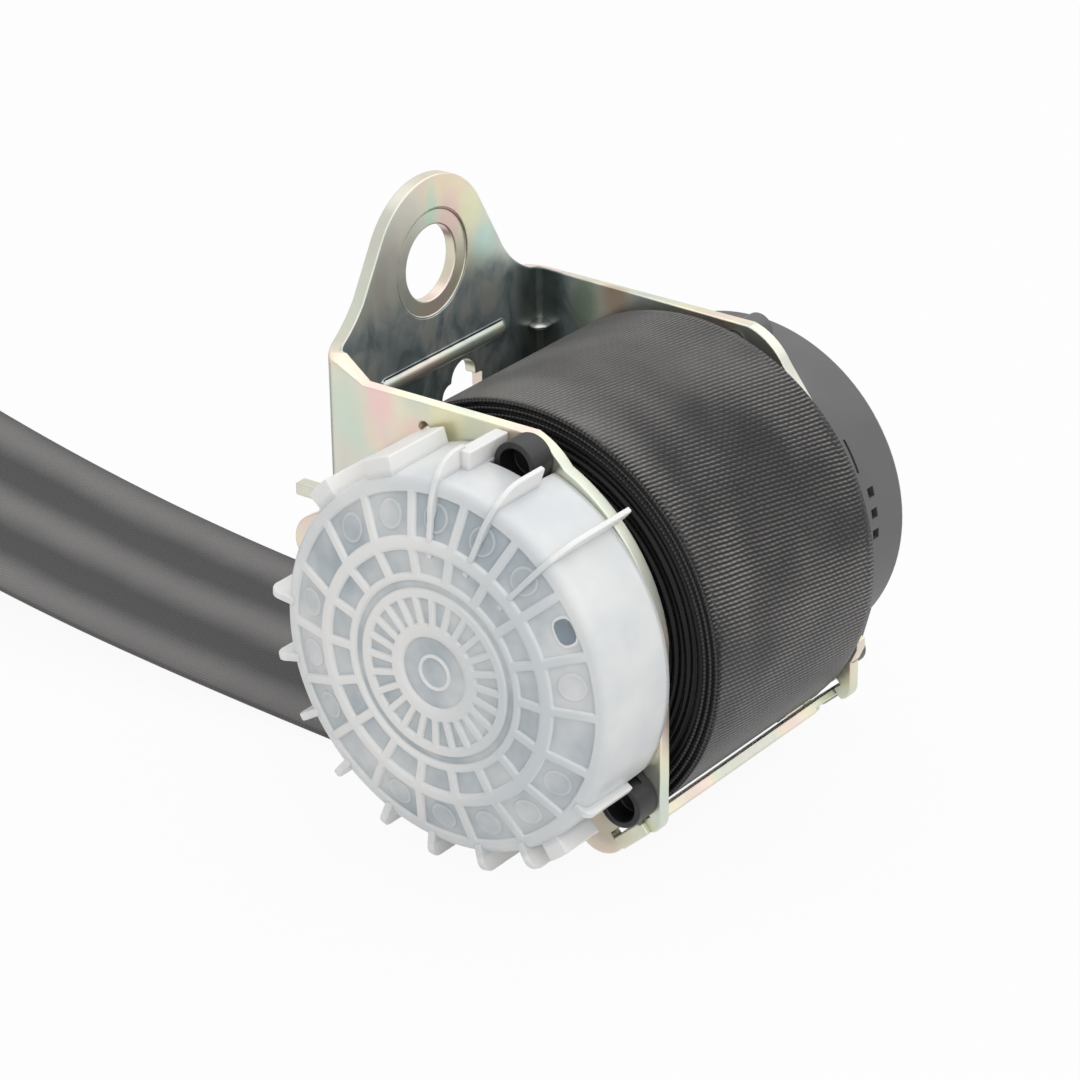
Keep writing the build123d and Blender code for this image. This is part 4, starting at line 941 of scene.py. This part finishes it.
def route_line(name, route):
    """Points in metres along the smooth line whose control points are a route's, of back and rise."""
    curve = bpy.data.curves.new(name, "CURVE")
    curve.dimensions = "3D"
    curve.resolution_u = 24
    spline = curve.splines.new("NURBS")
    spline.points.add(len(route) - 1)
    places = [(REEL_MID * MM, (AXIS_Y + back) * MM, (STRAP_START_Z + rise) * MM, 1)
              for back, rise in route]
    spline.points.foreach_set("co", np.ravel(places))
    spline.order_u = 3
    spline.use_endpoint_u = True
    thing = new_object(name, curve)
    bpy.context.view_layer.update()
    mesh = bpy.data.meshes.new_from_object(thing)
    points = np.empty(3 * len(mesh.vertices))
    mesh.vertices.foreach_get("co", points)
    bpy.data.objects.remove(thing)
    bpy.data.meshes.remove(mesh)
    return points.reshape(-1, 3)


def strap_profile():
    """Closed section of the belt as (across, height): flat, with round edges and faint waves along it."""
    half = WEB_WIDTH / 2
    t = WEB_THICK / 2
    across = np.linspace(-half + t, half - t, 48)
    wave = STRAP_WAVE * np.cos(TURN * across / BAND_PITCH)
    turn = np.linspace(-np.pi / 2, np.pi / 2, 7)[1:-1]
    right = np.stack([half - t + t * np.cos(turn), t * np.sin(turn)], 1)
    top = np.stack([across, t + wave - STRAP_WAVE], 1)[::-1]
    left = (right * (-1, 1))[::-1]
    low = np.stack([across, -t + wave + STRAP_WAVE], 1)
    return np.concatenate([right, top, left, low])


def strap_band(name, line):
    """The belt's cross-section carried along its line, upright in the side view."""
    step = np.linalg.norm(np.diff(line, axis=0), axis=1)
    length = np.concatenate([[0], np.cumsum(step)])
    s = np.linspace(0, length[-1], 260)
    mid = np.stack([np.interp(s, length, line[:, k]) for k in range(3)], 1) / MM
    ahead = np.gradient(mid, axis=0)
    ahead /= np.linalg.norm(ahead, axis=1)[:, None]
    up = np.stack([0 * s, -ahead[:, 2], ahead[:, 1]], 1)
    across, height = strap_profile().T
    points = mid[:, None, :] + up[:, None, :] * height[None, :, None]
    points[:, :, 0] += across
    uv = np.stack(np.broadcast_arrays(across[None, :], s[:, None] / MM), -1)
    return surface(name, points, close_columns=True, uv=uv, caps=True, flip=True)


strap_line = route_line("strap_line", STRAP_ROUTE)
strap = strap_band("free_belt", strap_line)
dress(strap, "webbing", STRAP_FINISH)
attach(strap, "retractor")
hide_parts("free_strap")


# The belt's sewn end

STITCH_GAP = 0.1
STITCHED = 30.0
STITCH_ROWS, STITCHES_ACROSS = 7, 14
STITCH_PITCH, STITCH_STAGGER = 3.1, 1.5
STITCH_HALF, STITCH_R = 1.15, 0.28
END_ARC = 760.0
LOOP_DROP = WEB_THICK + STITCH_GAP
LOOP_HIGH = ANCHOR_THICK / 2 + 0.25 + WEB_THICK / 2
LOOP_TURN = 15.5
run = np.diff(np.array(STRAP_ROUTE[-2:]), axis=0)[0]
ALONG_END = run / np.linalg.norm(run)


def at_end(u, h):
    """Back and rise of a point u past the strap's end and h above its middle."""
    back = STRAP_ROUTE[-1][0] + u * ALONG_END[0] - h * ALONG_END[1]
    return back, STRAP_ROUTE[-1][1] + u * ALONG_END[1] + h * ALONG_END[0]


def sewn_loop():
    """The belt's section carried round the anchor plate's bar and back under itself."""
    high, low = LOOP_HIGH - LOOP_DROP / 2, -LOOP_HIGH - LOOP_DROP / 2
    far = LOOP_TURN + LOOP_HIGH + 0.3
    route = [at_end(u, h) for u, h in (
        (0.0, 0.0), (2.0, 0.0), (8.0, high), (LOOP_TURN, high), (far, high), (far, low), (LOOP_TURN, low),
        (8.0, low), (0.0, -LOOP_DROP), (-STITCHED / 2, -LOOP_DROP), (-STITCHED, -LOOP_DROP + 0.2))]
    return strap_band("sewn_loop", route_line("loop_line", route))


def stitches():
    """Short raised threads in rows across the doubled belt, above and below: copies of one ellipsoid.

    Each is lifted by u squared / (2 END_ARC), because the strap curves up away from its end.
    """
    rings, sides = 5, 6
    one = ball(rings, sides)[..., [2, 0, 1]] * (STITCH_HALF, STITCH_R, STITCH_R)
    across = (np.arange(STITCHES_ACROSS) - (STITCHES_ACROSS - 1) / 2) * STITCH_PITCH
    rows = -np.linspace(2.5, STITCHED - 3.0, STITCH_ROWS)
    place = np.array([(x + STITCH_STAGGER * (k % 2), u, h) for k, u in enumerate(rows) for x in across
                      for h in (WEB_THICK / 2, -LOOP_DROP - WEB_THICK / 2)])
    points = place[:, None, None, :] + one
    back, up = at_end(points[..., 1], points[..., 2] + points[..., 1] ** 2 / (2 * END_ARC))
    points = np.stack([REEL_MID + points[..., 0], AXIS_Y + back, STRAP_START_Z + up], -1)
    first = np.arange(len(place))[:, None, None] * rings * sides
    faces = (grid_faces(rings, sides, False, True) + first).reshape(-1, 4)
    return weld(mesh_object("stitches", points, faces.tolist()))


loop = sewn_loop()
thread = stitches()
dress(loop, "webbing", STRAP_FINISH)
dress(thread, "webbing", THREAD_FINISH)
for piece in (loop, thread):
    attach(piece, "retractor")
    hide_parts("end_loop")


# Floor, light and camera

FLOOR_Z = cad_box[0][2] / MM
FLOOR_HALF = 4000.0

# Share of white in the floor as it is seen
FLOOR_WHITE = 0.94

# Strength of the light from all sides, of the white that the camera sees, and of the white in mirrors
WORLD_LIGHT, WORLD_WHITE, WORLD_MIRRORED = 0.64, 0.98, 0.8

# Name, place and side in metres, and power in watts
LAMPS = (("key", (0.35, -0.25, 0.95), 2.2, 11.5), ("fill", (-0.7, -0.6, 0.35), 1.3, 2.6))

# Camera: turn about Z, height and slight roll in degrees, then its place, lens and sensor in millimetres
CAMERA_ANGLES = (-52.922, 25.481, -0.921)
CAMERA_PLACE = (-490.10, -394.79, 246.62)
LENS, SENSOR = 131.95, 36.0


def studio_floor():
    """A pale floor that keeps the object's shadow and looks nearly white."""
    corners = np.array([(-1, -1), (1, -1), (1, 1), (-1, 1)]) * FLOOR_HALF
    floor = mesh_object("floor", np.insert(corners, 2, FLOOR_Z, axis=1), [(0, 1, 2, 3)], flat=True)
    material = bpy.data.materials.new("floor")
    f = Nodes(material, "OutputMaterial")
    plain = f.add("BsdfDiffuse", {"Color": (0.7, 0.7, 0.7)})
    bright = f.add("Emission", {"Color": (1, 1, 1), "Strength": 1.0})
    seen, _ = f.seen()
    f.feed(f.surface, f.add("MixShader", {0: f.times(seen, FLOOR_WHITE), 1: plain, 2: bright}))
    floor.data.materials.append(material)


def studio_world():
    """Even soft light from all sides, behind a white that the camera, mirrors and clear pieces see."""
    world = bpy.data.worlds.new("studio")
    bpy.context.scene.world = world
    w = Nodes(world, "OutputWorld")
    seen, by_camera = w.seen()
    light = w.add("Background", {"Color": (1, 1, 1), "Strength": WORLD_LIGHT})
    strength = w.math("MULTIPLY_ADD", by_camera, WORLD_WHITE - WORLD_MIRRORED, WORLD_MIRRORED)
    white = w.add("Background", {"Color": (1, 1, 1), "Strength": strength})
    w.feed(w.surface, w.add("MixShader", {0: seen, 1: light, 2: white}))


def studio_lamps():
    """A broad key lamp high up and a weaker fill lamp on the left, both turned to the object."""
    middle = Vector((0.0, -0.03, -0.04))
    for name, spot, size, power in LAMPS:
        lamp = bpy.data.lights.new(name, "AREA")
        lamp.size = size
        lamp.energy = power
        holder = new_object(name, lamp)
        holder.location = spot
        holder.rotation_euler = (middle - Vector(spot)).to_track_quat("-Z", "Y").to_euler()


def camera():
    """The photograph's camera, which looks at the object from the spring side, from in front and above."""
    turn, rise, roll = np.radians(CAMERA_ANGLES)
    back = np.array([np.sin(turn) * np.cos(rise), -np.cos(turn) * np.cos(rise), np.sin(rise)])
    right = np.cross([0, 0, 1], back)
    right /= np.linalg.norm(right)
    up = np.cross(back, right)
    right, up = right * np.cos(roll) + up * np.sin(roll), -right * np.sin(roll) + up * np.cos(roll)
    lens = bpy.data.cameras.new("camera")
    lens.sensor_width = SENSOR
    lens.lens = LENS
    place = np.eye(4)
    place[:3, :3] = np.stack([right, up, back], 1)
    place[:3, 3] = np.array(CAMERA_PLACE) * MM
    holder = new_object("camera", lens)
    holder.matrix_world = Matrix(place.tolist())
    bpy.context.scene.camera = holder


studio_floor()
studio_world()
studio_lamps()
camera()
bpy.context.scene.view_settings.view_transform = "Standard"
